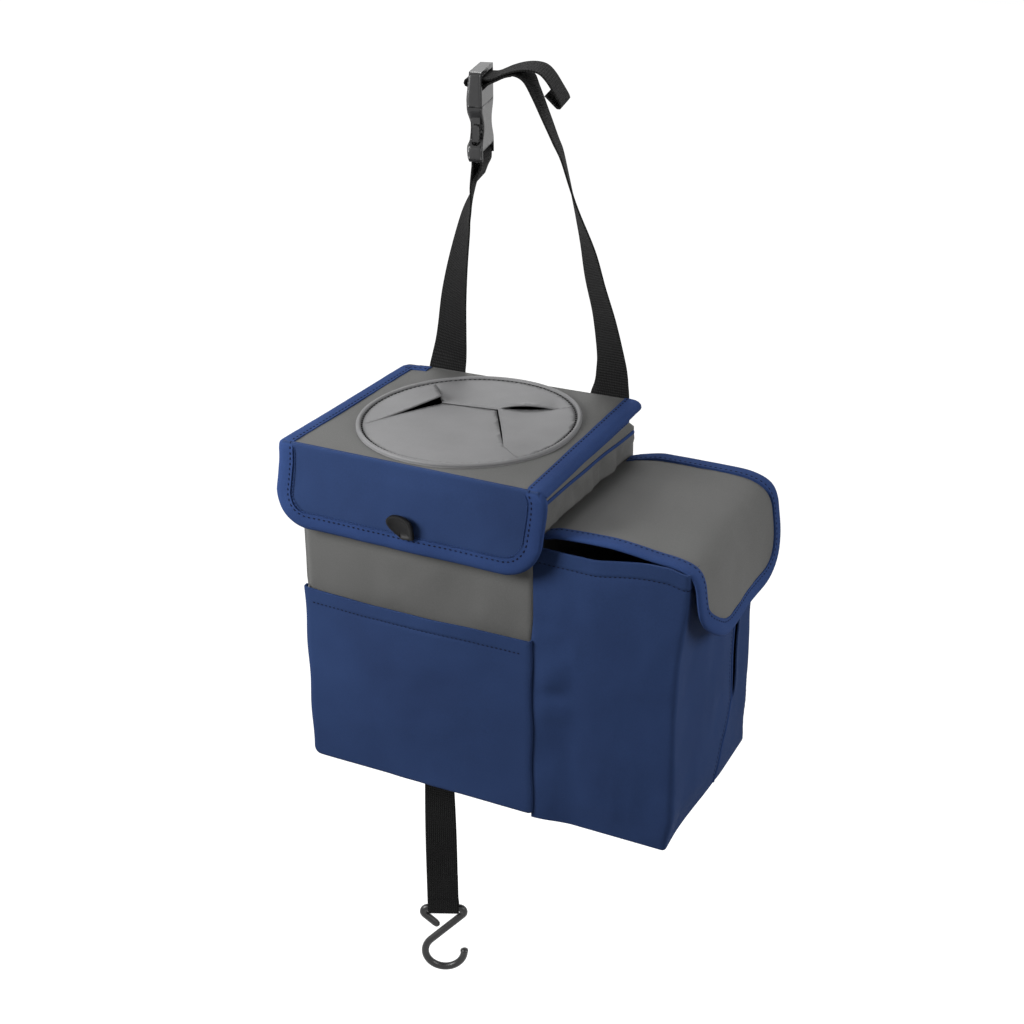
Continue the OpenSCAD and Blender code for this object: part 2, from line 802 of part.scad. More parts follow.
module lid_lining() {
    color(lining_grey) lid_layer(lid_low, lid_lining_t, hinge_y - hinge_r);
}

module flap_outline(inset) {
    translate([0, flap_low + inset])
        foot_rounded(lid_front_w - 2 * inset, lid_low - flap_low - inset,
                     flap_corner_r - inset);
}

module flap_body() {
    stand(flap_in, flap_t) flap_outline(tape_t);
}

module lid_front_flap() {
    color(navy) flap_body();
}

module lid_binding() {
    color(navy) difference() {
        union() {
            translate([0, 0, lid_low - tape_t]) linear_extrude(lid_t + 2 * tape_t)
                difference() {
                    lid_plan(0, hinge_y - hinge_r);
                    lid_plan(binding_w, hinge_y);
                }
            stand(flap_in + tape_t, flap_t + 2 * tape_t) difference() {
                flap_outline(0);
                difference() {
                    flap_outline(binding_w);
                    translate([-bin_w, lid_low + eps]) square([2 * bin_w, bin_h]);
                }
            }
        }
        translate([0, 0, lid_low]) linear_extrude(lid_t) lid_plan(tape_t, hinge_y);
        flap_body();
    }
}

module slit(from, to) {
    run = to - from;
    translate(from) rotate(atan2(run[1], run[0])) {
        translate([0, -petal_gap / 2]) square([norm(run), petal_gap]);
        for (x = [0, norm(run)]) translate([x, 0]) circle(petal_gap / 2, $fn = 16);
    }
}

// The left petal, hinged at its root and lifted at its tip
module lifted_petal() {
    root = tip_back_left - tip_front_left;
    reach = slit_left - tip_front_left;
    along = reach * unit(root);
    off = cross(unit(root), reach);
    translate([tip_front_left[0], tip_front_left[1], 0.3])
        rotate([0, 0, atan2(root[1], root[0])])
        rotate([-asin(min(petal_lift / -off, 0.9)), 0, 0]) linear_extrude(disc_t)
            polygon([[petal_gap, 0.5], [norm(root) - petal_gap, 0.5],
                     [along, off + petal_gap]]);
}

module slit_disc() {
    color(pale_grey) translate([0, disc_y, bin_h]) {
        linear_extrude(disc_t) difference() {
            circle(disc_r - disc_rim_d / 2, $fn = 96);
            polygon([tip_front_left, tip_back_left, slit_left]);
            slit(slit_left, slit_right);
            slit(slit_left, tip_front_left);
            slit(slit_left, tip_back_left);
            slit(slit_right, tip_back_right);
            slit(slit_right, tip_front_right);
        }
        lifted_petal();
        rotate_extrude($fn = 96) translate([disc_r - disc_rim_d / 2, disc_rim_d / 2])
            circle(disc_rim_d / 2, $fn = 24);
    }
}

// Spoon-shaped tab sewn to the front flap above its lower binding
module pull_tab() {
    tab_w = 15;
    tab_h = 20;
    tab_t = 3.4;
    lean = 14;
    color(black) translate([-2, 0, flap_low + binding_w + 0.6])
        translate([0, flap_out, 0]) rotate([90, -lean, 0]) translate([0, 2, 0])
            difference() {
                linear_extrude(tab_t) tab_outline(tab_w, tab_h, 0);
                translate([0, 0, tab_t - 1.2]) linear_extrude(2)
                    tab_outline(tab_w, tab_h, 1.8);
            }
}

module tab_outline(w, h, inset) {
    translate([-w / 4 + inset, inset]) square([w / 2 - 2 * inset, h / 2]);
    translate([0, h - w / 2]) circle(w / 2 - inset);
    translate([0, h / 2 - 2]) circle(w / 3 - inset);
}

module hook_patch() {
    color(black) patch(flap_in + hook_patch_t, hook_patch_t);
}

// Tissue pocket flap

function flap_profile() = smooth(
    [[flap_axis_x, side_flap_z],
     [flap_axis_x + 8, side_flap_z + 3],
     [flap_axis_x + 18, side_flap_z + 4.6],
     [side_x - side_w / 2, side_flap_z + 5.2],
     [side_x - 24, side_flap_z + 5.2],
     [side_x - 7, side_flap_z + 3.4],
     [side_x + 3, side_flap_z - 1.5],
     [side_x + 7.5, side_flap_z - 10],
     [side_x + 9.5, side_flap_z - side_flap_fall / 3],
     [side_x + 12, side_flap_z - side_flap_fall * 0.65],
     [side_x + 15, side_flap_z - side_flap_fall]], 3);

function beside(p, i, by) =
    let (h = unit(p[min(i + 1, len(p) - 1)] - p[max(i - 1, 0)]))
    p[i] + by * [-h[1], h[0]];

// The flap's curved section, run along its depth
module flap_section(thick) {
    p = flap_profile();
    n = len(p) - 1;
    translate([0, -side_flap_inset, 0]) rotate([90, 0, 0]) linear_extrude(side_flap_d)
        polygon(concat([for (i = [0 : n]) beside(p, i, thick / 2)],
                       [for (i = [n : -1 : 0]) beside(p, i, -thick / 2)],
                       [for (a = [255 : -18 : 147]) p[0] + bead_r * [cos(a), sin(a)]]));
}

// What is seen of the flap from the bin's right, with rounded free corners
module flap_face(inset) {
    translate([-side_flap_inset - side_flap_d / 2, side_flap_z - side_flap_fall + inset])
        foot_rounded(side_flap_d - 2 * inset, side_flap_fall + 30, side_flap_r - inset);
}

module side_flap() {
    color(grey) intersection() {
        flap_section(side_flap_t);
        across(0, 2 * side_x) flap_face(tape_t);
    }
}

module side_flap_binding() {
    color(navy) difference() {
        intersection() {
            flap_section(side_flap_t + 2 * tape_t);
            across(flap_axis_x + 5, 2 * side_x) difference() {
                flap_face(0);
                flap_face(binding_w);
            }
        }
        intersection() {
            flap_section(side_flap_t);
            across(0, 2 * side_x) flap_face(tape_t);
        }
    }
}

// Puts the bin's floor at its place below the origin
module in_place() {
    translate([0, 0, -bin_h / 2]) children();
}

in_place() front_panel();
in_place() back_panel();
in_place() left_panel();
in_place() right_panel();
in_place() bottom_panel();
in_place() front_board();
in_place() back_board();
in_place() left_board();
in_place() right_board();
in_place() bottom_board();
in_place() inner_liner();
in_place() rim_tape();
in_place() front_pocket();
in_place() loop_patch();
in_place() side_pocket_front();
in_place() side_pocket_rear();
in_place() side_pocket_bottom();
in_place() strap_left();
in_place() strap_right();
in_place() bottom_strap();
in_place() buckle_female();
in_place() buckle_male();
in_place() buckle_prong_front();
in_place() buckle_prong_rear();
in_place() hook();
in_place() lid_top();
in_place() lid_board();
in_place() lid_lining();
in_place() lid_front_flap();
in_place() lid_binding();
in_place() slit_disc();
in_place() pull_tab();
in_place() hook_patch();
in_place() side_flap();
in_place() side_flap_binding();
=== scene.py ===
"""Looks of a hanging car trash bin: cloth, tapes, stitches, plastic fittings, light and camera.

Lengths are in mm above the floor of the main bin, as in the part's source, and metres() turns
them into the row frame.
"""

import math

import bmesh
import bpy
import numpy as np
from mathutils import Matrix, Vector, geometry, noise


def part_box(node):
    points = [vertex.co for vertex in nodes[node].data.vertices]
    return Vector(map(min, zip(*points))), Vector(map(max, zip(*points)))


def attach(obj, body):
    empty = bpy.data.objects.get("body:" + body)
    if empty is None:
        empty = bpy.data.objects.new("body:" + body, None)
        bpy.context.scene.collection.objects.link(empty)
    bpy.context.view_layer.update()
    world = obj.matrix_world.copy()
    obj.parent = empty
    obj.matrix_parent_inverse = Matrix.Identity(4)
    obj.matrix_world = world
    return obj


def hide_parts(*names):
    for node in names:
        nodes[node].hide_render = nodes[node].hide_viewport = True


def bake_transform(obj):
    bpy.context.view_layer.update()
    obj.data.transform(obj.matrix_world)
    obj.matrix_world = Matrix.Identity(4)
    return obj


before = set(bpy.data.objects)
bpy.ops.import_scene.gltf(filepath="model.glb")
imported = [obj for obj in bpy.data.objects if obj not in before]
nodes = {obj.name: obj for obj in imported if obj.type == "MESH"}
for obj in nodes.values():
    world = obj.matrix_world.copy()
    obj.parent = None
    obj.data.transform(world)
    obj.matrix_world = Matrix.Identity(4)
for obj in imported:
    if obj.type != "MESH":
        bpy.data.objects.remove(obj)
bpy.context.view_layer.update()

# Height of the frame's origin above the bin's floor
FLOOR_DROP = 133.0

# The main bin and its front pocket, with the sizes of the part's source
WALL_X = 95.0
BIN_D = 164.0
BIN_H = 266.0
WALL_TOP = 261.2
RIM_LOW = 251.2
PIPING_Z = 246.4
CORNER_R = 5.0
POCKET_H = 147.0
POCKET_DEPTH = 6.0

# The tissue pocket and its slit
SIDE_X = 207.0
SIDE_FRONT = -163.0
SIDE_BACK = -24.0
SIDE_H = 216.0
SLIT_Y = -58.0
SLIT_LOW = 68.0
SLIT_HIGH = 188.0
HEM = 0.947

# The lid, its front flap, its band and its mouth
FLAP_OUT = -173.0
FLAP_LOW = 199.5
FLAP_FOLD = 263.6
FLAP_R = 27.0
LID_BACK_HALF = 99.5
LID_FRONT_HALF = 105.5
LID_BACK_Y = -5.05
BAND_W = 12.0
DISC = np.array([1.8, -86.0])
DISC_R = 81.0
MOUTH_R = 73.2

# The tissue pocket's flap
FLAP_AXIS_X = 96.6
FLAP_Z = 224.5
FLAP_BACK = -7.0
FLAP_FRONT = -160.0
FLAP_FREE_R = 34.0

# The buckle's foot and turn in degrees, and the webbing
BUCKLE = (-27.0, 0.0, 441.0)
BUCKLE_YAW = 14.0
BUCKLE_SHIFT = -1.5
STRAP_W = 32.0
LOW_STRAP_W = 25.0
STRAP_T = 1.5


# Points, noise and meshes

def metres(points):
    """Points in mm above the bin's floor as metres in the row frame."""
    p = np.array(points, float).reshape(-1, 3)
    p[:, 2] -= FLOOR_DROP
    return p / 1000


def millimetres(points):
    """Points in metres in the row frame as mm above the bin's floor."""
    return np.array(points, float) * 1000 + (0, 0, FLOOR_DROP)


def rough(points, size, seed, octaves=2):
    """Smooth noise from about -1 to 1 at points in mm, with lumps of that size."""
    flat = np.asarray(points, float).reshape(-1, 3) / size
    shift = Vector((seed * 3.1, seed * 1.7, -seed * 2.3))
    out = np.array([noise.fractal(Vector(p) + shift, 1.0, 2.0, octaves) for p in flat])
    return out.reshape(np.asarray(points).shape[:-1])


def bell(x, middle, width):
    """1 at the middle, falling smoothly to 0 at a width's distance."""
    t = np.clip(np.abs(np.asarray(x, float) - middle) / width, 0, 1)
    return (1 - t * t) ** 2


def ramp(x, start, end):
    """0 before start, 1 after end, smooth between."""
    t = np.clip((np.asarray(x, float) - start) / (end - start), 0, 1)
    return t * t * (3 - 2 * t)


def unit(v):
    v = np.asarray(v, float)
    return v / np.maximum(np.linalg.norm(v, axis=-1, keepdims=True), 1e-9)


def smooth_route(points, steps):
    """A smooth line through the points, with that many steps from each to the next."""
    p = np.array(points, float)
    out = []
    for i in range(len(p) - 1):
        a, b, c, d = p[max(i - 1, 0)], p[i], p[i + 1], p[min(i + 2, len(p) - 1)]
        for k in range(steps):
            t = k / steps
            out.append(0.5 * (2 * b + (c - a) * t + (2 * a - 5 * b + 4 * c - d) * t * t
                              + (3 * b - a - 3 * c + d) * t ** 3))
    out.append(p[-1])
    return np.array(out)


def along(points):
    """Distance covered at each point of a line."""
    steps = np.linalg.norm(np.diff(np.asarray(points, float), axis=0), axis=1)
    return np.concatenate([[0], np.cumsum(steps)])


def evenly(points, spacing):
    """The same line with points at an even spacing."""
    p = np.asarray(points, float)
    s = along(p)
    count = max(int(round(s[-1] / spacing)), 2)
    at = np.linspace(0, s[-1], count + 1)
    return np.stack([np.interp(at, s, p[:, k]) for k in range(p.shape[1])], 1)


def looped(line):
    """A line with its first point again at its end."""
    return np.vstack([line, line[:1]])


def at_height(plan, z):
    """The points of a plan at one height."""
    plan = np.asarray(plan, float)
    return np.concatenate([plan, np.full(plan.shape[:-1] + (1,), float(z))], -1)


def drawn_in(ring, centre, shares):
    """Copies of a ring at those shares of its distance from a centre."""
    return np.array([centre + (ring - centre) * k for k in shares])


def oval(wide, high):
    """A cord's section of those half widths."""
    return [(wide * math.cos(a), high * math.sin(a)) for a in np.radians(np.arange(0, 360, 30))]


def wavy(profile, wobble, inner, share):
    """Profiles whose inner edge wanders by wobble, and the rest by a share of it."""
    profile = np.array(np.broadcast_to(profile, (len(wobble),) + profile.shape[-2:]))
    profile[..., 0] += np.where(profile[..., 0] < inner, wobble, share * wobble)
    return profile


class Shape:
    """A mesh in the making, in mm above the bin's floor, with texture coordinates in metres."""

    def __init__(self):
        self.points, self.faces, self.uvs = [], [], []
        self.count = 0

    def add(self, points):
        """Keeps the points and gives the number of the first."""
        first = self.count
        self.points.append(points)
        self.count += len(points)
        return first

    def grid(self, points, wrap=False, uv=None):
        """A grid [rows, columns, 3]; wrap joins the last column to the first."""
        rows, cols = points.shape[:2]
        if uv is None:
            ring = np.concatenate([points, points[:, :1]], 1) if wrap else points
            uv = np.zeros(ring.shape[:2] + (2,))
            uv[..., 0] = along(ring[rows // 2])[None, :]
            uv[..., 1] = along(points[:, cols // 2])[:, None]
            uv /= 1000
        base = self.add(points.reshape(-1, 3))
        for i in range(rows - 1):
            for j in range(cols if wrap else cols - 1):
                k = (j + 1) % cols
                self.faces.append([base + i * cols + j, base + i * cols + k,
                                   base + (i + 1) * cols + k, base + (i + 1) * cols + j])
                self.uvs += [uv[i, j], uv[i, j + 1], uv[i + 1, j + 1], uv[i + 1, j]]
        return self

    def cap(self, ring):
        """A fan that closes a ring of points."""
        middle = ring.mean(0)
        base, n = self.add(np.vstack([ring, middle])), len(ring)
        for j in range(n):
            k = (j + 1) % n
            self.faces.append([base + j, base + k, base + n])
            self.uvs += [(p[0] / 1000, p[1] / 1000) for p in (ring[j], ring[k], middle)]
        return self

    def tube(self, rings):
        """Rings joined one to the next and closed at both ends."""
        return self.grid(rings, wrap=True).cap(rings[0][::-1]).cap(rings[-1])

    def triangles(self, points, faces):
        """Loose triangles, textured by their plan."""
        base = self.add(points)
        for f in faces:
            self.faces.append([base + i for i in f])
            self.uvs += [(points[i][0] / 1000, points[i][1] / 1000) for i in f]

    def sweep(self, places, edges, ups, profile, closed=False):
        """A closed profile of (edge, up) pairs carried along places."""
        prof = np.asarray(profile, float)
        if prof.ndim == 2:
            prof = np.broadcast_to(prof, (len(places),) + prof.shape)
        edges, ups = np.broadcast_to(edges, places.shape), np.broadcast_to(ups, places.shape)
        rings = places[:, None] + edges[:, None] * prof[..., :1] + ups[:, None] * prof[..., 1:]
        if closed:
            rings = np.concatenate([rings, rings[:1]])
            return self.grid(rings, wrap=True)
        return self.tube(rings)

    def make(self, name, material, body, slot, stands_for=(), closed=False, **finish):
        """The finished object; closed turns the faces of a closed form outward."""
        mesh = bpy.data.meshes.new(name)
        mesh.from_pydata(metres(np.vstack(self.points)).tolist(), [], self.faces)
        layer = mesh.uv_layers.new(name="UVMap")
        layer.data.foreach_set("uv", np.array(self.uvs, np.float32).ravel())
        bm = bmesh.new()
        bm.from_mesh(mesh)
        bmesh.ops.remove_doubles(bm, verts=bm.verts, dist=2e-6)
        if closed:
            bmesh.ops.recalc_face_normals(bm, faces=bm.faces)
        bm.to_mesh(mesh)
        bm.free()
        return dressed(mesh, material, body, slot, stands_for, **finish)


def in_scene(name, data):
    obj = bpy.data.objects.new(name, data)
    bpy.context.scene.collection.objects.link(obj)
    return obj


def dressed(mesh, material, body, slot, stands_for=(), thick=0.0, bevel=0.0, segments=2,
            angle=40, bends=False):
    """A mesh's object, with its material, thickness, rounding and place in the frame."""
    mesh.polygons.foreach_set("use_smooth", [True] * len(mesh.polygons))
    mesh.set_sharp_from_angle(angle=math.radians(angle))
    mesh.materials.append(material)
    obj = in_scene(mesh.name, mesh)
    if thick:
        solid = obj.modifiers.new("Thickness", "SOLIDIFY")
        solid.thickness = thick / 1000
        solid.offset = -1
        solid.thickness_clamp = 0.9
    if bevel:
        soft = obj.modifiers.new("Rounding", "BEVEL")
        soft.width = bevel / 1000
        soft.segments = segments
        soft.limit_method = "ANGLE"
        soft.angle_limit = math.radians(38)
    if bends:
        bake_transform(obj)
    else:
        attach(obj, body)
    if stands_for:
        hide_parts(*stands_for)
    return obj


def stitches(name, points, ups, body, material, slot="binding_tape", pitch=4.2, length=2.7,
             thread=0.42, bends=False):
    """A row of thread stitches along points, lying on the surface whose normals are ups."""
    p = np.asarray(points, float)
    ups = np.broadcast_to(np.asarray(ups, float), p.shape)
    s = along(p)
    shape = Shape()
    swells = [(-0.5, 0.25), (-0.3, 0.85), (0.0, 1.0), (0.3, 0.85), (0.5, 0.25)]
    turns = np.radians(np.arange(0, 360, 60))
    sink = 0.1
    for at in (np.arange(int(s[-1] / pitch)) + 0.5) * pitch:
        mid, a, b = [np.array([np.interp(at + d, s, p[:, k]) for k in range(3)])
                     for d in (0, -0.5, 0.5)]
        up = unit([np.interp(at, s, ups[:, k]) for k in range(3)])
        way = unit(b - a)
        side = unit(np.cross(up, way))
        rings = []
        for place, size in swells:
            centre = mid + way * place * length + up * (thread * (size - 1) - sink)
            rings.append([centre + thread * size * (side * 1.15 * math.cos(t) + up * math.sin(t))
                          for t in turns])
        shape.tube(np.array(rings))
    return shape.make(name, material, body, slot, angle=80, closed=True, bends=bends)


# Materials

def linear(r, g, b):
    """A colour given in 0-255 display values."""
    def one(c):
        c /= 255
        return c / 12.92 if c <= 0.04045 else ((c + 0.055) / 1.055) ** 2.4
    return one(r), one(g), one(b), 1.0


def grey(value):
    return linear(value, value, value)


class Nodes:
    """Short names for building a node tree."""

    def __init__(self, tree):
        self.tree = tree

    def feed(self, node, sockets):
        """Links each named socket to an output, or sets it to a value."""
        for key, value in sockets.items():
            if isinstance(value, bpy.types.NodeSocket):
                self.tree.links.new(value, node.inputs[key])
            elif value is not None:
                node.inputs[key].default_value = value

    def add(self, kind, sockets=None, **settings):
        node = self.tree.nodes.new(kind)
        for key, value in settings.items():
            setattr(node, key, value)
        self.feed(node, sockets or {})
        return node

    def math(self, operation, a, b=None):
        return self.add("ShaderNodeMath", {0: a, 1: b}, operation=operation).outputs[0]

    def noise(self, scale, detail=2.0, roughness=0.5):
        place = self.add("ShaderNodeTexCoord").outputs["Object"]
        return self.add("ShaderNodeTexNoise", {"Vector": place, "Scale": scale, "Detail": detail,
                                               "Roughness": roughness}).outputs["Fac"]

    def ramp(self, value, stops):
        node = self.add("ShaderNodeValToRGB", {0: value})
        elements = node.color_ramp.elements
        for element, stop in zip(elements, (stops[0], stops[-1])):
            element.position, element.color = stop
        for place, colour in stops[1:-1]:
            elements.new(place).color = colour
        return node.outputs[0]

    def tint(self, colour, value, low, high):
        """The colour made darker or lighter as value goes from 0 to 1."""
        share = self.add("ShaderNodeMapRange", {"Value": value, "To Min": low, "To Max": high})
        return self.add("ShaderNodeMix", {0: 1, 6: colour, 7: share.outputs[0]},
                        data_type="RGBA", blend_type="MULTIPLY").outputs[2]

    def bump(self, height, distance, strength=1.0, before=None):
        return self.add("ShaderNodeBump", {"Height": height, "Distance": distance,
                                           "Strength": strength, "Normal": before}).outputs[0]

    def waves(self, *pitches):
        """Waves from -1 to 1 across and along the cloth, whose half waves are those mm long."""
        place = self.add("ShaderNodeTexCoord").outputs["UV"]
        parts = self.add("ShaderNodeSeparateXYZ", {0: place}).outputs
        return [self.math("SINE", self.math("MULTIPLY", part, math.pi * 1000 / pitch))
                for part, pitch in zip(parts, pitches)]

    def seen_directly(self):
        """1 for what the camera, a mirror or a glass sees, 0 for the light on the object."""
        path = self.add("ShaderNodeLightPath").outputs
        seen = self.math("MAXIMUM", path["Is Camera Ray"], path["Is Glossy Ray"])
        return self.math("MAXIMUM", seen, path["Is Transmission Ray"])


class Skin(Nodes):
    """A material in the making."""

    def __init__(self, name):
        self.mat = bpy.data.materials.new(name)
        self.mat.use_nodes = True
        super().__init__(self.mat.node_tree)
        self.shader = self.tree.nodes["Principled BSDF"]

    def surface(self, colour, normal, roughness=None, specular=None, sheen=None):
        """The finished material."""
        self.feed(self.shader, {"Base Color": colour, "Normal": normal, "Roughness": roughness,
                                "Specular IOR Level": specular, "Sheen Weight": sheen})
        return self.mat


def fabric(name, dark, mid, light, pitch=0.55, weave=0.00009, crumple=0.0009, roughness=0.85,
           specular=0.1):
    """Woven cloth with blotches, crumples, fuzz and threads at a pitch in mm."""
    n = Skin(name)
    colour = n.ramp(n.noise(12, 3.0), [(0.2, dark), (0.5, mid), (0.8, light)])
    colour = n.tint(colour, n.noise(900, 2.0), 0.88, 1.12)
    threads = n.math("MULTIPLY", *n.waves(pitch, pitch))
    colour = n.tint(colour, n.math("ADD", n.math("MULTIPLY", threads, 0.5), 0.5), 0.93, 1.05)
    normal = n.bump(n.noise(22, 3.0), crumple, 0.6)
    normal = n.bump(n.noise(2600, 2.0), 0.00012, 0.5, normal)
    return n.surface(colour, n.bump(threads, weave, 0.7, normal), roughness, specular)


def webbing_cloth():
    """Webbing with ribs across it and cords along it, and painted shade in the grooves between
    them.
    """
    n = Skin("webbing_cloth")
    cords, ribs = [n.math("ABSOLUTE", wave) for wave in n.waves(1.6, 2.1)]
    knit_and_groove_shade = n.math("MULTIPLY", n.math("ADD", ribs, 0.25), n.math("ADD", cords, 0.35))
    # Painted shade: the knit's low grooves are coloured near black, and its raised ribs and cords
    # lighter.
    colour = n.ramp(knit_and_groove_shade, [(0.0, grey(4)), (0.7, grey(17)), (1.0, grey(34))])
    colour = n.tint(colour, n.noise(60, 3.0), 0.45, 0.85)
    normal = n.bump(n.noise(3000, 2.0), 0.0001, 0.4, n.bump(knit_and_groove_shade, 0.0005, 1.0))
    return n.surface(colour, normal, 0.72, 0.1)


def moulded(name, base, worn, roughness, grain=0.00003, specular=0.5):
    """Plastic with a fine grain, and scuffs that are paler and duller."""
    n = Skin(name)
    scuffs = n.noise(420, 5.0, roughness=0.7)
    colour = n.ramp(scuffs, [(0.35, base), (0.7, base), (0.86, worn)])
    gloss = n.add("ShaderNodeMapRange", {"Value": scuffs, "To Min": roughness - 0.07,
                                         "To Max": roughness + 0.12})
    return n.surface(n.tint(colour, n.noise(45, 2.0), 0.85, 1.15),
                     n.bump(n.noise(5200, 2.0), grain, 0.6), gloss.outputs[0], specular)


def membrane_sheet():
    n = Skin("membrane_sheet")
    colour = n.ramp(n.noise(26, 3.0), [(0.25, linear(90, 90, 91)), (0.75, linear(102, 102, 103))])
    normal = n.bump(n.noise(34, 2.0), 0.0006, 0.6)
    return n.surface(n.tint(colour, n.noise(1500, 3.0), 0.9, 1.08),
                     n.bump(n.noise(2400, 3.0), 0.00012, 0.5, normal), 0.6)


def fuzzy(name, base, tip):
    n = Skin(name)
    pile = n.noise(1700, 3.0, roughness=0.8)
    return n.surface(n.ramp(pile, [(0.35, base), (0.7, tip)]), n.bump(pile, 0.0006, 1.0), 0.95,
                     sheen=0.4)


NAVY = fabric("navy_weave", linear(34, 49, 83), linear(37, 54, 90), linear(41, 59, 97))
GREY = fabric("grey_weave", linear(78, 78, 77), linear(83, 83, 82), linear(88, 88, 87),
              specular=0.25, roughness=0.7)
TAPE = fabric("binding_weave", linear(35, 52, 92), linear(39, 58, 100), linear(44, 64, 108),
              pitch=0.4, crumple=0.0004)
LINING = fabric("lining_weave", grey(50), grey(58), grey(66),
                pitch=0.35, weave=0.00004, roughness=0.6)
# Navy thread made darker than its cloth: its colour is partly the thread's own and partly painted
# shade of the stitch holes.
SHADED_THREAD = fabric("navy_thread_hole_shade", linear(9, 14, 30), linear(15, 23, 45), linear(27, 40, 72),
                pitch=0.3, crumple=0.0001)
DARK_THREAD = fabric("dark_thread", grey(20), grey(28), grey(44),
                     pitch=0.3, crumple=0.0001)
WEBBING = webbing_cloth()
MEMBRANE = membrane_sheet()
BUCKLE_PLASTIC = moulded("buckle_plastic_skin", linear(29, 29, 30), linear(56, 56, 57), 0.3)
HOOK_PLASTIC = moulded("hook_plastic_skin", linear(17, 17, 18), linear(40, 40, 41), 0.34)
TAB_PLASTIC = moulded("tab_plastic_skin", linear(9, 9, 10), linear(24, 24, 25), 0.5,
                      specular=0.2)
BOARD = moulded("board_sheet", linear(222, 222, 216), linear(205, 205, 198), 0.5)
PILE = fuzzy("patch_pile", linear(18, 18, 20), linear(46, 46, 49))


# Main bin

def rounded_loop(left, right, front, back, r, spacing=2.3):
    """A rounded rectangle seen from above, counterclockwise, and its outward normals."""
    corners = [(right - r, back - r), (left + r, back - r), (left + r, front + r),
               (right - r, front + r)]
    pts, outs = [], []
    for k, (cx, cy) in enumerate(corners):
        for a in np.radians(np.linspace(90 * k, 90 * k + 90, 7)):
            pts.append((cx + r * math.cos(a), cy + r * math.sin(a)))
            outs.append((math.cos(a), math.sin(a)))
        nx, ny = corners[(k + 1) % 4]
        out = outs[-1]
        count = int(math.hypot(nx - cx, ny - cy) / spacing)
        for t in np.arange(1, count) / count:
            pts.append((cx + (nx - cx) * t + r * out[0], cy + (ny - cy) * t + r * out[1]))
            outs.append(out)
    return np.array(pts), np.array(outs)


def upright(loop, outs, rows, inset_at, push):
    """A wall over a plan: rows of heights, drawn in by inset_at(z) and pushed out by push(p)."""
    pts = np.array([at_height(loop - outs * inset_at(z), z) for z in rows])
    return pts + at_height(outs, 0)[None] * push(pts)[..., None]


def bin_push(p):
    """How far the bin's cloth stands off its boards."""
    x, y, z = p[..., 0], p[..., 1], p[..., 2]
    front = (y < -BIN_D + 2.0) * bell(x, 0, 94)
    right = x > WALL_X - 1
    left = x < -WALL_X + 1
    belly = front * (2.2 * bell(z, 178, 58) + 1.0 * rough(p, 46, 3.0))
    pulls = front * (2.0 * bell(x, -60, 30) * bell(z, 160, 30)
                     + 2.2 * bell(x, 66, 22) * bell(z, 170, 40)
                     - 1.4 * bell(x, 30, 34) * bell(z, 160, 30))
    loose = ramp(z, 212, 226) * (1 - ramp(z, 238, 245))
    folds = right * (1.8 * ramp(z, 212, 226) + loose * (
        2.2 * rough(p * (1, 1, 0.3), 13, 5.0) + 0.9 * rough(p, 9, 8.0)))
    corner = right * 2.6 * ramp(y, -60, -6) * ramp(z, 205, 240)
    side = left * (1.6 * ramp(z, 130, 160) + 0.4 * rough(p, 30, 6.0))
    edge = ramp(z, 0, 8) * (1 - ramp(z, 249, 253))
    return 0.25 + edge * np.maximum(
        belly + pulls + folds + corner + side + 0.35 * rough(p, 30, 8.0), 0)


def soft_foot(radius):
    """How far a wall draws in at each height where it rounds into a floor."""
    return lambda z: radius - math.sqrt(max(radius ** 2 - max(radius - z, 0) ** 2, 0))


def bin_body():
    loop, outs = rounded_loop(-WALL_X, WALL_X, -BIN_D, 0, CORNER_R)
    rows = np.concatenate([[0, 0.3, 0.9, 1.6, 2.4], np.linspace(4, WALL_TOP, 84)])
    wall = upright(loop, outs, rows, soft_foot(2.4), bin_push)
    shape = Shape().grid(wall, wrap=True)
    centre = np.array([0, -BIN_D / 2, 0])
    rings = drawn_in(wall[0], centre, (0.02, 0.3, 0.6, 0.85, 0.97, 1))
    rings[..., 2] = 0
    shape.grid(rings, wrap=True).cap(rings[0][::-1])
    shape.make("bin_cloth", GREY, "bin", "grey_fabric", thick=1.0,
               stands_for=["front_panel", "back_panel", "left_panel", "right_panel",
                           "bottom_panel"])
    liner, inner = rounded_loop(-WALL_X + 2.9, WALL_X - 2.9, -BIN_D + 2.9, -2.9, 2.1, 4.0)
    rows = np.linspace(3.6, WALL_TOP - 2, 40)
    inside = upright(liner, inner, rows, lambda z: 0,
                     lambda p: -0.75 + 0.25 * rough(p, 26, 5.0))
    lining = Shape().grid(inside[:, ::-1], wrap=True)
    rings = drawn_in(inside[0], centre, (1, 0.97, 0.7, 0.4, 0.02))
    rings[..., 2] = 3.6
    lining.grid(rings, wrap=True).cap(rings[-1])
    lining.make("liner_cloth", LINING, "bin", "lining", thick=0.5, stands_for=["inner_liner"])


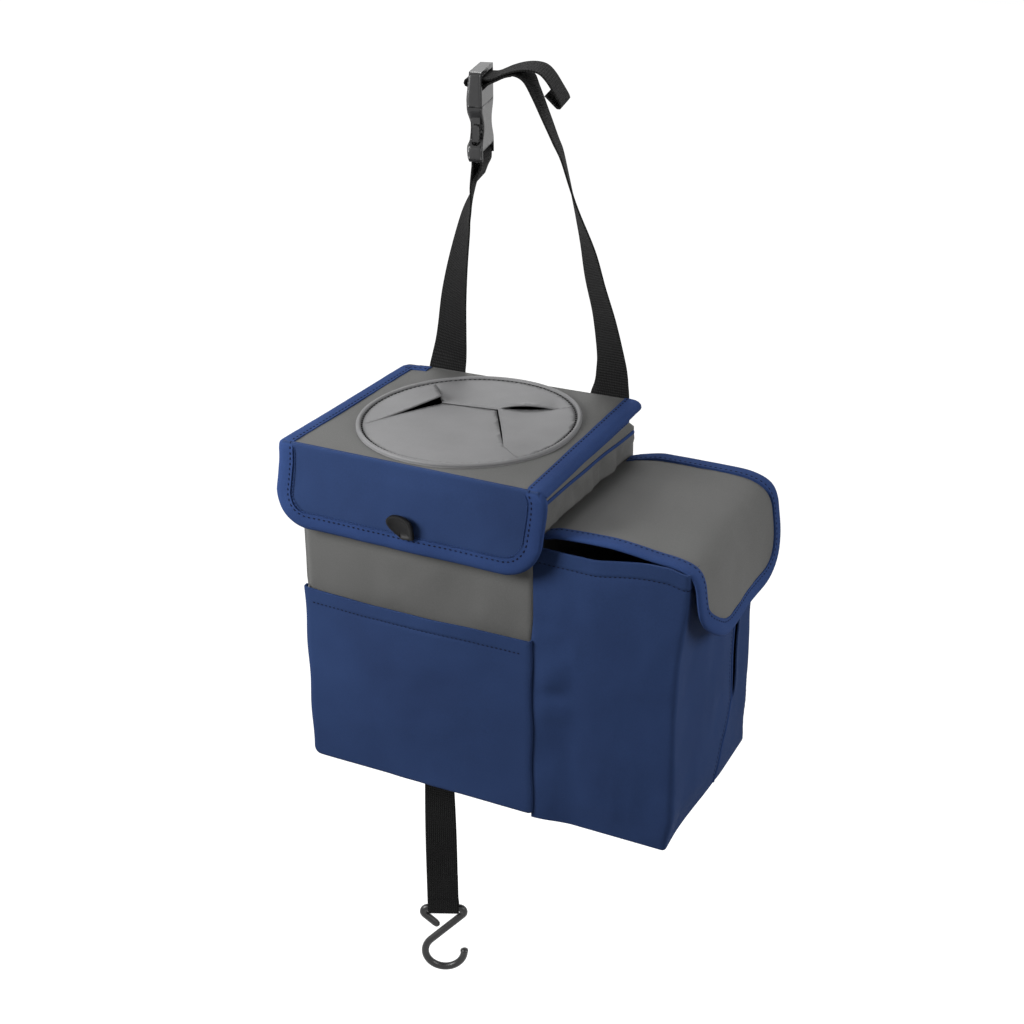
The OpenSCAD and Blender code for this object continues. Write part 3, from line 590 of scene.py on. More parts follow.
def rim_band():
    loop, outs = rounded_loop(-WALL_X, WALL_X, -BIN_D, 0, CORNER_R)
    edges = at_height(outs, 0)
    profile = [(0.0, 0.0), (0.75, 0.1), (0.95, 2.0), (0.95, 8.5), (0.7, 10.1), (0.0, 10.65),
               (-3.6, 10.65), (-4.15, 10.1), (-4.2, 6.0), (-4.15, 0.4), (-3.6, 0.2),
               (-3.6, 9.9), (-0.3, 9.9)]
    Shape().sweep(at_height(loop, RIM_LOW), edges, [0, 0, 1.0], profile, closed=True).make(
        "rim_band", TAPE, "bin", "binding_tape", stands_for=["rim_tape"], closed=True)
    ys = np.linspace(-BIN_D + 3, -5, 90)
    path = np.array([[WALL_X + 0.4, y, PIPING_Z + 0.6 * math.sin(y * 0.035)] for y in ys])
    path = path + np.array([1.0, 0, 0]) * bin_push(path)[:, None]
    Shape().sweep(path, [0, 0, 1.0], [1.0, 0, 0], oval(1.5, 0.9)).make(
        "rim_piping", TAPE, "bin", "binding_tape", closed=True, angle=60)
    line = at_height(loop + outs * 0.95, RIM_LOW + 2.2)
    stitches("rim_stitches", looped(line), looped(edges), "bin", SHADED_THREAD, pitch=3.8)


def front_pocket():
    hem = 135.6

    def limit(z, r):
        """How far the pocket reaches at a height, above a lower corner of radius r."""
        return WALL_X - r + math.sqrt(max(r ** 2 - max(r - z, 0) ** 2, 0))

    rows = [(0.04, 0.3), (0.3, 0.0), (0.6, 0.0), (0.85, 0.35), (0.97, 1.2), (1.0, 2.4)]
    rows += [(1.0, z) for z in np.concatenate([np.linspace(4, 134.6, 56), [hem, 136.2],
                                               np.linspace(137, POCKET_H, 7)])]
    cols = np.concatenate([[0] * 4, np.linspace(0, 1, 96)[1:-1], [1] * 4])
    turns = [(0, 0.04), (0, 0.5), (0.6, 0.86), (1.8, 0.97)]
    pts = np.zeros((len(rows), len(cols), 3))
    for i, (depth, z) in enumerate(rows):
        xl, xr = limit(z, 7.0), limit(z, 2.5)
        for j, c in enumerate(cols):
            if j < 4 or j >= len(cols) - 4:
                shift, share = turns[min(j, len(cols) - 1 - j)]
                x = (-xl + shift) if j < 4 else (xr - shift)
            else:
                x, share = -xl + 3.2 + (xl + xr - 6.4) * c, 1.0
            pts[i, j] = (x, -BIN_D - 0.2 - (POCKET_DEPTH - 0.2) * depth * share, z)
    x, z = pts[..., 0], pts[..., 2]
    inside = bell(x, 0, 96) * (pts[..., 1] < -BIN_D - 4)
    puff = 2.6 * ramp(z, 2, 50) * bell(x, 4, 100) + 1.7 * bell(z, 147, 60) * bell(x, 30, 64)
    puff += 1.1 * rough(pts, 58, 11.0) + 0.45 * rough(pts, 24, 4.0)
    puff += 0.5 * ramp(z, 135.7, 136.6) - 0.45 * bell(z, 135.9, 1.4)
    pts[..., 1] -= inside * np.maximum(puff, -0.3)
    pts[..., 2] += ramp(z, 100, 147) * (0.8 * np.sin(x * 0.045 + 0.6) + 0.5 * rough(pts, 40, 2.0))
    pts[..., 0] += ramp(np.abs(x), 80, 95) * 0.5 * np.sin(z * 0.11)
    Shape().grid(pts).make("front_pocket_cloth", NAVY, "bin", "navy_fabric", thick=1.3, bevel=0.35,
                           stands_for=["front_pocket"])
    row = int(np.argmin(np.abs(np.array(rows)[:, 1] - hem)))
    stitches("front_pocket_stitches", pts[row, 5:-5] + (0, -0.15, 0.4), [0, -1.0, 0], "bin",
             SHADED_THREAD, pitch=3.5, length=2.4, thread=0.5)


# Tissue pocket

def seam_y(z):
    """Where the seam between the tissue pocket's halves runs: straight, then swept forward."""
    if z >= SLIT_LOW:
        return SLIT_Y
    return SLIT_Y - 29.0 * math.sin(math.radians(90 * (SLIT_LOW - z) / SLIT_LOW))


def slit_half(z):
    """Half the width of the tissue slit at a height."""
    t = (z - SLIT_LOW) / (SLIT_HIGH - SLIT_LOW)
    return 3.5 * math.sqrt(max(math.sin(math.pi * t), 0)) if 0 < t < 1 else 0.0


def rim_at(x):
    """Height of the tissue pocket's rim, which the flap draws up toward the right."""
    return SIDE_H + 3.3 + 6.2 * ramp(x, 135, 183) - 3.0 * ramp(x, 190, 205)


def settle(p):
    """The tissue pocket's wall as it hangs: its bottom rises to the back, its front edge leans."""
    x, y, z = p[..., 0], p[..., 1], p[..., 2]
    out = p.copy()
    rise = np.interp(y, [SIDE_FRONT, -87, SIDE_BACK], [-4.2, 11.2, 15.0])
    out[..., 2] += rise * (1 - np.clip(z / 95, 0, 1)) ** 1.3
    front = ramp(x, 140, 200) * (1 - ramp(y, -150, -70))
    out[..., 0] += front * (3.4 * ramp(z, 150, 215) - 4.2 * (1 - ramp(z, 120, 200))
                            - 3.6 * (1 - ramp(z, 0, 30)))
    return out


def pocket_path(start, end, r=3.0):
    """Plan of the tissue pocket's wall from the bin's front to its back, with normals."""
    arc = np.radians(np.linspace(0, 90, 13))
    pts = [(x, SIDE_FRONT) for x in np.linspace(start, SIDE_X - r, 46)]
    outs = [(0.0, -1.0)] * len(pts)
    pts += [(SIDE_X - r + r * math.sin(a), SIDE_FRONT + r - r * math.cos(a)) for a in arc[1:]]
    outs += [(math.sin(a), -math.cos(a)) for a in arc[1:]]
    side = np.linspace(SIDE_FRONT + r, SIDE_BACK - r, 60)[1:]
    pts += [(SIDE_X, y) for y in side]
    outs += [(1.0, 0.0)] * len(side)
    pts += [(SIDE_X - r + r * math.cos(a), SIDE_BACK - r + r * math.sin(a)) for a in arc[1:]]
    outs += [(math.cos(a), math.sin(a)) for a in arc[1:]]
    pts += [(x, SIDE_BACK) for x in np.linspace(SIDE_X - r, end, 40)[1:]]
    outs += [(0.0, 1.0)] * 39
    return np.array(pts), np.array(outs)


def pocket_push(p):
    """How far the tissue pocket's padded cloth stands proud of its plain shape."""
    x, y, z = p[..., 0], p[..., 1], p[..., 2]
    level = ramp(z, 0, 26) * (1 - 0.5 * ramp(z, 196, 216))
    front = (y < SIDE_FRONT + 0.5) * bell(x, 150, 58)
    side = (x > SIDE_X - 0.5) * bell(y, -100, 60)
    back = (y > SIDE_BACK - 0.5) * bell(x, 150, 58)
    puff = level * (2.6 * front + 2.2 * side + 1.6 * back)
    near = (y < SIDE_FRONT + 0.5) * bell(x, 112, 17)
    tucks = near * (1.5 * bell(z, 122, 16) - 1.3 * bell(z, 144, 13) + 1.1 * bell(z, 92, 14)
                    - 1.0 * bell(z, 106, 9) + 0.8 * bell(z, 40, 24))
    seam = (y < SIDE_FRONT + 0.5) * 4.2 * (1 - ramp(x, 95, 126)) * (1 - ramp(z, 138, 165))
    loose = np.where(y < SIDE_FRONT + 0.5, ramp(x, 94, 106), 1)
    drape = loose * (1.5 * rough(p, 62, 21.0) + 0.7 * rough(p * (1, 1, 0.5), 24, 9.0))
    return puff + tucks + seam + ramp(z, 0, 16) * drape


def pocket_wall(side):
    """The pocket's wall on one side of the slit; -1 is the front part, 1 the rear part."""
    path, outs = pocket_path(93.7, 95.2)
    split = int(np.argmin(np.hypot(path[:, 0] - SIDE_X, path[:, 1] - SLIT_Y)))
    share = np.concatenate([[0, 0.003, 0.008, 0.014], np.linspace(0.02, 0.94, 62),
                            [HEM, 0.953], np.linspace(0.96, 1, 5)])
    count = 124 if side < 0 else 72
    pts = np.zeros((len(share), count, 3))
    normal = np.zeros_like(pts)
    arc = along(path)
    foot = soft_foot(1.4)
    for i, t in enumerate(share):
        z_mid = t * SIDE_H
        edge = arc[split] + (seam_y(z_mid) - path[split, 1]) + side * slit_half(z_mid)
        at = np.linspace(0, edge, count) if side < 0 else np.linspace(edge, arc[-1], count)
        px, py, nx, ny = [np.interp(at, arc, c) for c in np.hstack([path, outs]).T]
        inset = foot(z_mid)
        pts[i] = np.stack([px - nx * inset, py - ny * inset, t * rim_at(px)], 1)
        normal[i] = np.stack([nx, ny, 0 * nx], 1)
    gap = pts[:, -1 if side < 0 else 0, 1]
    near_slit = pts[..., 0] > SIDE_X - 6
    distance = np.abs(pts[..., 1] - gap[:, None])
    lip = near_slit * bell(distance, 0, 8.0) * ramp(pts[..., 2], 60, 76) * (
        1 - ramp(pts[..., 2], 186, 196))
    pts += normal * (pocket_push(pts) + (1.6 if side > 0 else -0.6) * lip)[..., None]
    hem = (ramp(share, 0.945, 0.952) * 0.5 - 0.4 * bell(share, HEM, 0.006))[:, None]
    pts += normal * hem[..., None]
    return settle(pts), normal, share


def pocket_cloth():
    for side, name, node in ((-1, "tissue_front", "side_pocket_front"),
                             (1, "tissue_rear", "side_pocket_rear")):
        pts, normal, share = pocket_wall(side)
        Shape().grid(pts).make(name + "_cloth", NAVY, "bin", "navy_fabric", thick=1.6, bevel=0.4,
                               stands_for=[node])
        row = int(np.argmin(np.abs(share - HEM)))
        line = pts[row] + normal[row] * 0.1
        stitches(name + "_stitches", line[2:-2], normal[row][2:-2], "bin", SHADED_THREAD, pitch=3.6,
                 length=2.5, thread=0.5)
        if side < 0:
            edge, out = pts[2:-3, -1], normal[2:-3, -1]
            run = unit(np.gradient(edge, axis=0))
            Shape().sweep(edge, np.cross(run, out), out, oval(1.1, 1.0)).make(
                "tissue_slit_piping", TAPE, "bin", "navy_fabric", closed=True, angle=60)
            inner = pts[6:-8, -4] + normal[6:-8, -4] * 0.05
            stitches("tissue_slit_stitches", inner, normal[6:-8, -4], "bin", SHADED_THREAD, pitch=3.4,
                     length=2.3, thread=0.42)
    path, outs = pocket_path(95.6, 95.6)
    rings = drawn_in(at_height(path - outs * 1.2, 0), np.array([150.0, -93.5, 0.0]),
                     (0.02, 0.35, 0.7, 0.93, 1))
    rings[..., 2] = -0.15 + 0.35 * rough(rings, 40, 6.0)
    rings[-1, :, 2] = 0.25
    rings = settle(rings)
    shape = Shape().grid(rings, wrap=True).cap(rings[0][::-1])
    shape.make("tissue_bottom_cloth", NAVY, "bin", "navy_fabric", thick=1.4,
               stands_for=["side_pocket_bottom"])


# Lid

def lid_half(y):
    """Half the lid's width at a place along its depth."""
    return LID_BACK_HALF + (LID_FRONT_HALF - LID_BACK_HALF) * (LID_BACK_Y - y) / (
        LID_BACK_Y - FLAP_OUT)


def hang(points):
    """The lid as it hangs: the straps draw its back edge up and its right back corner aside."""
    p = np.array(points, float)
    back = ramp(p[..., 1], -120, -8)
    right = np.clip((p[..., 0] + LID_BACK_HALF) / (2 * LID_BACK_HALF), 0, 1)
    p[..., 0] += back * (1.0 + 3.5 * right)
    p[..., 1] += back
    p[..., 2] += back * (1.5 + 3.0 * right)
    return p


def lid_edge(angle, inset, front, back):
    """Where a ray from the disc's centre meets the lid's outline."""
    way = np.array([math.cos(angle), math.sin(angle)])
    best = 1e9
    if way[1] > 1e-6:
        best = min(best, (back - DISC[1]) / way[1])
    if way[1] < -1e-6:
        best = min(best, (front - DISC[1]) / way[1])
    slope = (LID_FRONT_HALF - LID_BACK_HALF) / (LID_BACK_Y - FLAP_OUT)
    for side in (-1, 1):
        bottom = side * way[0] + slope * way[1]
        if bottom > 1e-6:
            best = min(best, (lid_half(DISC[1]) - inset - side * DISC[0]) / bottom)
    return best


def lid_sheet(name, z, inset, front, back, material, slot, node, thick, wave):
    """One cloth layer of the lid, with the mouth's round hole, as rings from its rim inward."""
    angles = np.radians(np.arange(0, 360, 1.5))
    corners = [math.atan2(y - DISC[1], s * (lid_half(y) - inset) - DISC[0]) % (2 * math.pi)
               for y in (front, back) for s in (-1, 1)]
    angles = np.unique(np.round(np.concatenate([angles, corners]), 5))
    reach = np.array([lid_edge(a, inset, front, back) for a in angles])
    rows = [1, 0.985, 0.95, 0.9, 0.8, 0.7, 0.6, 0.5, 0.4, 0.3, 0.2, 0.1, 0]
    pts = np.zeros((len(rows), len(angles), 3))
    for i, t in enumerate(rows):
        r = MOUTH_R + (reach - MOUTH_R) * t
        pts[i, :, 0] = DISC[0] + r * np.cos(angles)
        pts[i, :, 1] = DISC[1] + r * np.sin(angles)
        pts[i, :, 2] = z + wave * rough(pts[i], 40, 14.0) * math.sin(math.pi * min(t, 0.999))
    uv = np.concatenate([pts, pts[:, :1]], 1)[..., :2] / 1000
    # The left back corner is round
    corner, radius = np.array([-LID_BACK_HALF + 6.5, LID_BACK_Y - 4.1]), 5.5
    off = pts[..., :2] - corner
    far = np.linalg.norm(off, axis=-1)
    out = (off[..., 0] < 0) & (off[..., 1] > 0) & (far > radius)
    drawn = corner + off * (radius / np.maximum(far, radius))[..., None]
    pts[..., :2] = np.where(out[..., None], drawn, pts[..., :2])
    Shape().grid(hang(pts), wrap=True, uv=uv).make(
        name, material, "lid", slot, thick=thick, stands_for=[node], bends=True)


def lid_cloth():
    lid_sheet("lid_cloth", BIN_H + 0.1, 2.8, FLAP_OUT + 0.6, LID_BACK_Y + 1.4, GREY,
              "grey_fabric", "lid_top", 1.2, 0.5)
    lid_sheet("lid_board_sheet", 264.85, 3.6, FLAP_OUT + 2.4, LID_BACK_Y - 1.6, BOARD,
              "board", "lid_board", 1.35, 0.0)
    lid_sheet("lid_lining_cloth", 263.3, 3.4, FLAP_OUT + 4.2, LID_BACK_Y - 1.4, LINING,
              "lining", "lid_lining", 0.75, 0.1)
    xs = np.linspace(-LID_BACK_HALF + 13, LID_BACK_HALF - 3, 70)
    lid_back = hang(np.stack([xs, 0 * xs + LID_BACK_Y + 1.2, 0 * xs + BIN_H], 1))
    wall = np.stack([np.clip(xs, -WALL_X + 1, WALL_X - 1), 0 * xs + 0.75, 0 * xs + 257.0], 1)
    rows = [wall + (lid_back - wall) * t + np.array([0, 1.3 * math.sin(math.pi * t), 0])
            for t in np.linspace(0, 1, 9)]
    Shape().grid(np.array(rows)).make("lid_hinge_cloth", GREY, "bin", "grey_fabric", thick=0.7)


def flap_corner(side):
    """The radius of the front flap's lower corner on one side."""
    return FLAP_R if side < 0 else FLAP_R + 3


def flap_half(z, side):
    """How far the front flap reaches to one side at a height."""
    r = flap_corner(side)
    if side < 0:
        wide = LID_FRONT_HALF + 5.1 * ramp(z, 258, 214)
    else:
        wide = LID_FRONT_HALF + 2.4 * ramp(z, 267, 258) - 4.4 * ramp(z, 257, 215)
    low = FLAP_LOW + r
    if z >= low:
        return wide
    return wide - r + math.sqrt(max(r ** 2 - (low - z) ** 2, 0))


def flap_stand(x, z):
    """How far the front flap's face stands in front of the plane of its fold."""
    x = np.asarray(x, float)
    z = x * 0 + z
    drop = ramp(z, 262, 205)
    wave = 0.9 * np.sin(x * 0.031 + 0.8) + 0.5 * np.sin(x * 0.071 + 2.0)
    curl = 2.4 * ramp(x, 70, 112) * ramp(z, 230, 204) + 1.2 * ramp(-x, 80, 110) * ramp(z, 228, 206)
    spots = np.stack([x, 0 * x, z], -1)
    lumps = ramp(z, 262, 244) * (0.5 * rough(spots, 34, 17.0) + 0.2 * rough(spots, 15, 3.0))
    belly = 0.7 * bell(z, 236, 30) * bell(x, 0, 100)
    return 0.45 + lumps + drop * (0.6 + 0.5 * wave) + curl + belly


def on_flap(x, z):
    """The point of the front flap's face at x and z."""
    return [x, FLAP_OUT - flap_stand(x, z), z]


def flap_cloth():
    low = FLAP_R * np.cos(np.radians(np.linspace(0, 90, 14)))
    heights = np.concatenate([FLAP_LOW + FLAP_R - low,
                              np.linspace(FLAP_LOW + FLAP_R, FLAP_FOLD, 22)[1:]])
    cols = np.linspace(-1, 1, 110)
    inset = 2.2
    pts = []
    for z in heights:
        left, right = flap_half(z, -1) - inset, flap_half(z, 1) - inset
        x = np.where(cols < 0, cols * left, cols * right)
        raised = z + 2.4 * (FLAP_FOLD - z) / (FLAP_FOLD - FLAP_LOW)
        pts.append(np.stack([x, FLAP_OUT - flap_stand(x, z), np.full_like(x, raised)], 1))
    x = cols * (LID_FRONT_HALF - inset)
    for a in np.radians([160, 140, 120, 100, 88]):
        pts.append(np.stack([x, FLAP_OUT + 1.75 + 2.2 * math.cos(a) + 0 * x,
                             264.2 + 2.2 * math.sin(a) + 0 * x], 1))
    Shape().grid(np.array(pts)).make("flap_cloth", NAVY, "lid", "navy_fabric", thick=3.0,
                                     stands_for=["lid_front_flap"])


def band_side(side):
    """Places of the lid's band, its outward edge and its face: one side, from back to front."""
    run = []
    if side < 0:
        mid = (-LID_BACK_HALF + 6, LID_BACK_Y - 5)
        run += [([x, LID_BACK_Y + y, BIN_H], [0, 1, 0], [0, 0, 1])
                for x, y in ((-76, 4.6), (-80, 4.3), (-84, 3.6), (-88, 2.4), (-91, 1.5))]
        run += [([mid[0] + 6 * math.cos(a), mid[1] + 6 * math.sin(a), BIN_H],
                 [math.cos(a), math.sin(a), 0], [0, 0, 1])
                for a in np.radians(np.linspace(90, 172, 8))]
    first = LID_BACK_Y + 1.0 if side > 0 else LID_BACK_Y - 6.5
    run += [([side * lid_half(y), y, BIN_H], [side, 0, 0], [0, 0, 1])
            for y in np.linspace(first, FLAP_OUT + 6, 60)]
    run += [([side * (LID_FRONT_HALF + 0.1), FLAP_OUT + 4 - 4 * math.cos(a),
              BIN_H - 4 + 4 * math.sin(a)], [side, 0, 0], [0, -math.cos(a), math.sin(a)])
            for a in np.radians([75, 60, 45, 30, 15])]
    r = flap_corner(side)
    run += [(on_flap(side * flap_half(z, side), z), [side, 0, 0], [0, -1, 0])
            for z in np.linspace(260, FLAP_LOW + r, 18)]
    centre = [side * (flap_half(FLAP_LOW + r, side) - r), FLAP_LOW + r]
    return run + [(on_flap(centre[0] + side * r * math.cos(a), centre[1] - r * math.sin(a)),
                   [side * math.cos(a), 0, -math.sin(a)], [0, -1, 0])
                  for a in np.radians(np.linspace(6, 90, 15))]


def band_route():
    """The lid's and flap's edge from the left back corner round the flap to the right back."""
    left, right = band_side(-1), band_side(1)
    middle = [(on_flap(x, FLAP_LOW), [0, 0, -1], [0, -1, 0])
              for x in np.linspace(left[-1][0][0], right[-1][0][0], 62)[1:-1]]
    places, edges, ups = zip(*(left + middle + right[::-1]))
    return np.array(places, float), unit(edges), unit(ups)


def lid_band():
    places, edges, ups = band_route()
    on_lid = ups[:, 2:3]
    places = np.where(on_lid > 0.5, hang(places), places)
    flat = np.array([(-BAND_W, -0.4), (-BAND_W + 0.2, 1.15), (-9.6, 1.05), (-8, 1.25), (-4, 1.3),
                     (-1.2, 0.95), (0.5, 0.0), (0.9, -1.7), (0.5, -3.4), (-1.2, -4.3),
                     (-6, -4.4), (-BAND_W + 0.3, -4.1), (-BAND_W, -2.6)])
    droop = np.array([(-BAND_W, -0.4), (-BAND_W + 0.2, 1.15), (-9.6, 1.05), (-8, 1.25),
                      (-4, 1.0), (-1.0, 0.1), (1.1, -1.8), (1.6, -4.2), (0.9, -6.0),
                      (-1.4, -6.2), (-4.5, -4.6), (-BAND_W + 0.3, -4.1), (-BAND_W, -2.6)])
    wobble = 0.35 * rough(places, 16, 31.0)[:, None]
    profile = flat[None] * (1 - on_lid[..., None]) + droop[None] * on_lid[..., None]
    Shape().sweep(places, edges, ups, wavy(profile, wobble, -9, 0.6)).make(
        "lid_band", TAPE, "lid", "binding_tape", stands_for=["lid_binding"], closed=True,
        angle=50, bends=True)
    line = places + edges * -9.7 + ups * 1.1
    stitches("lid_band_stitches", line, ups, "lid", SHADED_THREAD, pitch=4.2, length=2.8, thread=0.6,
             bends=True)
    places, edges, ups = [a[on_lid[:, 0] < 0.5] for a in (places, edges, ups)]
    stitches("flap_seam_stitches", places - edges * (BAND_W + 1.2) + ups * 0.75, ups, "lid", TAPE,
             pitch=2.6, length=2.4, thread=0.3)


# Membrane

# Ends of the slits, in mm from the disc's centre
SLITS = {name: np.array(at) * DISC_R for name, at in {
    "left": (-0.43, 0.27), "right": (0.11, 0.33), "front_left": (-0.79, -0.43),
    "back_left": (-0.69, 0.61), "back_right": (0.66, 0.57), "front_right": (0.58, -0.4)}.items()}


def slit(start, end, sag=0, count=14):
    """A line between two ends of slits that bows aside by sag, without its last point."""
    a, run = SLITS[start], SLITS[end] - SLITS[start]
    aside = np.array([-run[1], run[0]]) / np.hypot(*run)
    return [a + run * t + aside * sag * 4 * t * (1 - t) for t in np.arange(count) / count]


def rim_arc(start, end, r=76.9):
    """The arc of the disc's rim, counterclockwise from one slit's end to another's."""
    first, last = [math.atan2(SLITS[k][1], SLITS[k][0]) for k in (start, end)]
    if last < first:
        last += 2 * math.pi
    count = max(int((last - first) / math.radians(4)), 2)
    return [np.array([math.cos(t), math.sin(t)]) * r for t in np.linspace(first, last, count)]


def petal(outline, lift, gap):
    """A petal's triangles: its outline drawn in by gap along the slits, then lifted."""
    outline = np.array(outline)
    centre = outline.mean(0)
    far = np.hypot(outline[:, 0], outline[:, 1])
    tips = [at for name, at in SLITS.items() if "_" in name]
    free = np.min([np.linalg.norm(outline - at, axis=1) for at in tips], 0)
    pull = gap * (np.clip(free / 22, 0, 1) * (far < 74))[:, None]
    outline = outline + unit(centre - outline) * pull
    low, high = outline.min(0), outline.max(0)
    spots = [Vector((x, y)) for x in np.arange(low[0], high[0], 3.4)
             for y in np.arange(low[1], high[1], 3.4)]
    edge = [Vector(p) for p in outline]
    ring = [(i, (i + 1) % len(edge)) for i in range(len(edge))]
    keep = [s for s in spots if inside(s, outline)]
    verts, _, faces, *_ = geometry.delaunay_2d_cdt(
        edge + keep, ring, [list(range(len(edge)))], 1, 1e-4)
    flat = np.array([[v[0], v[1]] for v in verts])
    z = np.array([lift(p) for p in flat])
    pts = np.concatenate([flat + DISC, z[:, None]], 1)
    return pts, [f for f in faces if len(f) == 3]


def inside(spot, outline):
    """Is the spot inside the outline, and not right at its edge?"""
    x, y = spot
    a, b = outline, np.roll(outline, -1, 0)
    cross = ((a[:, 1] > y) != (b[:, 1] > y)) & (
        x < (b[:, 0] - a[:, 0]) * (y - a[:, 1]) / (b[:, 1] - a[:, 1] + 1e-12) + a[:, 0])
    clear = np.hypot(a[:, 0] - x, a[:, 1] - y).min() > 1.6
    return bool(cross.sum() % 2) and clear


def from_chord(p, start, end):
    """How far p is from the line through two slits' ends, on the left of it."""
    a, run = SLITS[start], SLITS[end] - SLITS[start]
    return float(run[0] * (p[1] - a[1]) - run[1] * (p[0] - a[0])) / np.hypot(*run)


def membrane():
    fork_left, fork_right = SLITS["left"], SLITS["right"]
    base = BIN_H + 1.35
    reach = -from_chord(fork_left, "front_left", "back_left")

    def near(p, start, end, width):
        return max(1 - abs(from_chord(p, start, end)) / width, 0)

    def left_lift(p):
        t = max(-from_chord(p, "front_left", "back_left"), 0) / reach
        return base + 5.8 * t ** 1.4

    def back_lift(p):
        run = SLITS["back_right"] - fork_right
        span = np.clip(np.dot(p - fork_right, run) / np.dot(run, run), 0, 1)
        return base + 5.4 * near(p, "right", "back_right", 40) ** 2 * math.sin(
            math.pi * min(span * 1.15, 1)) ** 0.8

    def front_lift(p):
        return base - 1.2 * near(p, "left", "right", 60) ** 2

    def right_lift(p):
        fork = max(1 - np.linalg.norm(p - fork_right) / 48, 0)
        return base + 1.2 * near(p, "right", "front_right", 40) ** 2 * fork

    left = (slit("front_left", "left", 1.5) + slit("left", "back_left")
            + rim_arc("back_left", "front_left"))
    back = (slit("back_right", "right", 4.0) + slit("right", "left") + slit("left", "back_left")
            + rim_arc("back_right", "back_left")[::-1])
    front = (slit("front_left", "left", 1.5) + slit("left", "right")
             + slit("right", "front_right") + rim_arc("front_left", "front_right")[::-1])
    right = (slit("front_right", "right") + slit("right", "back_right", -1.0)
             + rim_arc("front_right", "back_right")[::-1])
    shape = Shape()
    for outline, lift, gap in ((left, left_lift, 0.4), (back, back_lift, 0.15),
                               (front, front_lift, 0.35), (right, right_lift, 0.9)):
        pts, faces = petal(outline, lift, gap)
        shape.triangles(hang(pts), faces)
    shape.make("membrane_petals", MEMBRANE, "lid", "membrane", thick=1.3,
               stands_for=["slit_disc"], angle=50, bends=True)
    turns = np.radians(np.arange(0, 360, 2.5))
    outs = np.stack([np.cos(turns), np.sin(turns)], 1)
    roll = [(1.7 * math.cos(a), 1.5 + 1.6 * math.sin(a))
            for a in np.radians(np.arange(-30, 211, 24))]
    profile = [(1.75, 0.1)] + roll + [(-2.0, 1.0), (-3.4, 1.0), (-5.4, 1.2), (-5.4, 0.1)]
    Shape().sweep(hang(at_height(DISC + outs * 80.2, BIN_H)), at_height(outs, 0), [0, 0, 1.0],
                  profile, closed=True).make(
        "membrane_rim", MEMBRANE, "lid", "membrane", closed=True, angle=60, bends=True)
    stitches("membrane_stitches", looped(hang(at_height(DISC + outs * 77.4, base))), [0, 0, 1.0],
             "lid", DARK_THREAD, slot="membrane", pitch=3.7, length=2.7, thread=0.62, bends=True)


# Tissue flap

def flap_line():
    """The tissue flap's section, from its hinge over the pocket to its free edge."""
    x, z = SIDE_X, FLAP_Z
    return evenly(smooth_route([
        (FLAP_AXIS_X, z), (FLAP_AXIS_X + 8, z + 3), (FLAP_AXIS_X + 18, z + 4.6), (151, z + 5.2),
        (x - 24, z + 5.2), (x - 7, z + 3.4), (x + 3, z - 1.5), (x + 7.5, z - 10),
        (x + 9.5, z - 22), (x + 12, z - 43), (x + 15, z - 66)], 8), 2.4)


def tissue_flap_grid():
    """The flap's middle surface as rows across its depth, its normals, and at each step along
    its line half its width and the distance from its hinge."""
    line = flap_line()
    s = along(line)
    straight = s[-1] - FLAP_FREE_R
    turn = straight + FLAP_FREE_R * np.sin(np.radians(np.arange(0, 91, 7.5)))
    steps = np.concatenate([np.arange(0, turn[0] - 1, 2.4), turn])
    line_x, line_z = [np.interp(steps, s, line[:, k]) for k in (0, 1)]
    half, middle = (FLAP_BACK - FLAP_FRONT) / 2, (FLAP_BACK + FLAP_FRONT) / 2
    over = np.maximum(steps - straight, 0)
    width = half - FLAP_FREE_R + np.sqrt(np.maximum(FLAP_FREE_R ** 2 - over ** 2, 0))
    y = middle + np.linspace(-1, 1, 58)[:, None] * width
    pts = np.stack([line_x + 0 * y, y, line_z + 0 * y], 2)
    x, y = pts[..., 0], pts[..., 1]
    free = ramp(x, 104, 130)
    low = ramp(pts[..., 2], 215, 160)
    pts[..., 2] += free * (3.6 * ramp(y, -46, FLAP_BACK) * (1 - low) + 0.9 * rough(pts, 44, 5.0)
                           + 1.2 * bell(y, -90, 60) * bell(x, 175, 40))
    tip = 1 - ramp(y, -150, -110)
    pts[..., 2] += 8.0 * low * tip + 2.0 * low - 3.4 * tip * bell(x, 192, 42) * (1 - low)
    pts[..., 0] += ramp(x, 190, 215) * (1.6 * np.sin(y * 0.045 + 1.0) + 0.8 * rough(pts, 38, 12.0))
    slope = unit(np.gradient(pts[len(pts) // 2], axis=0))
    upward = unit(np.stack([-slope[:, 2], 0 * steps, slope[:, 0]], 1))
    return pts, np.broadcast_to(upward, pts.shape), width, steps


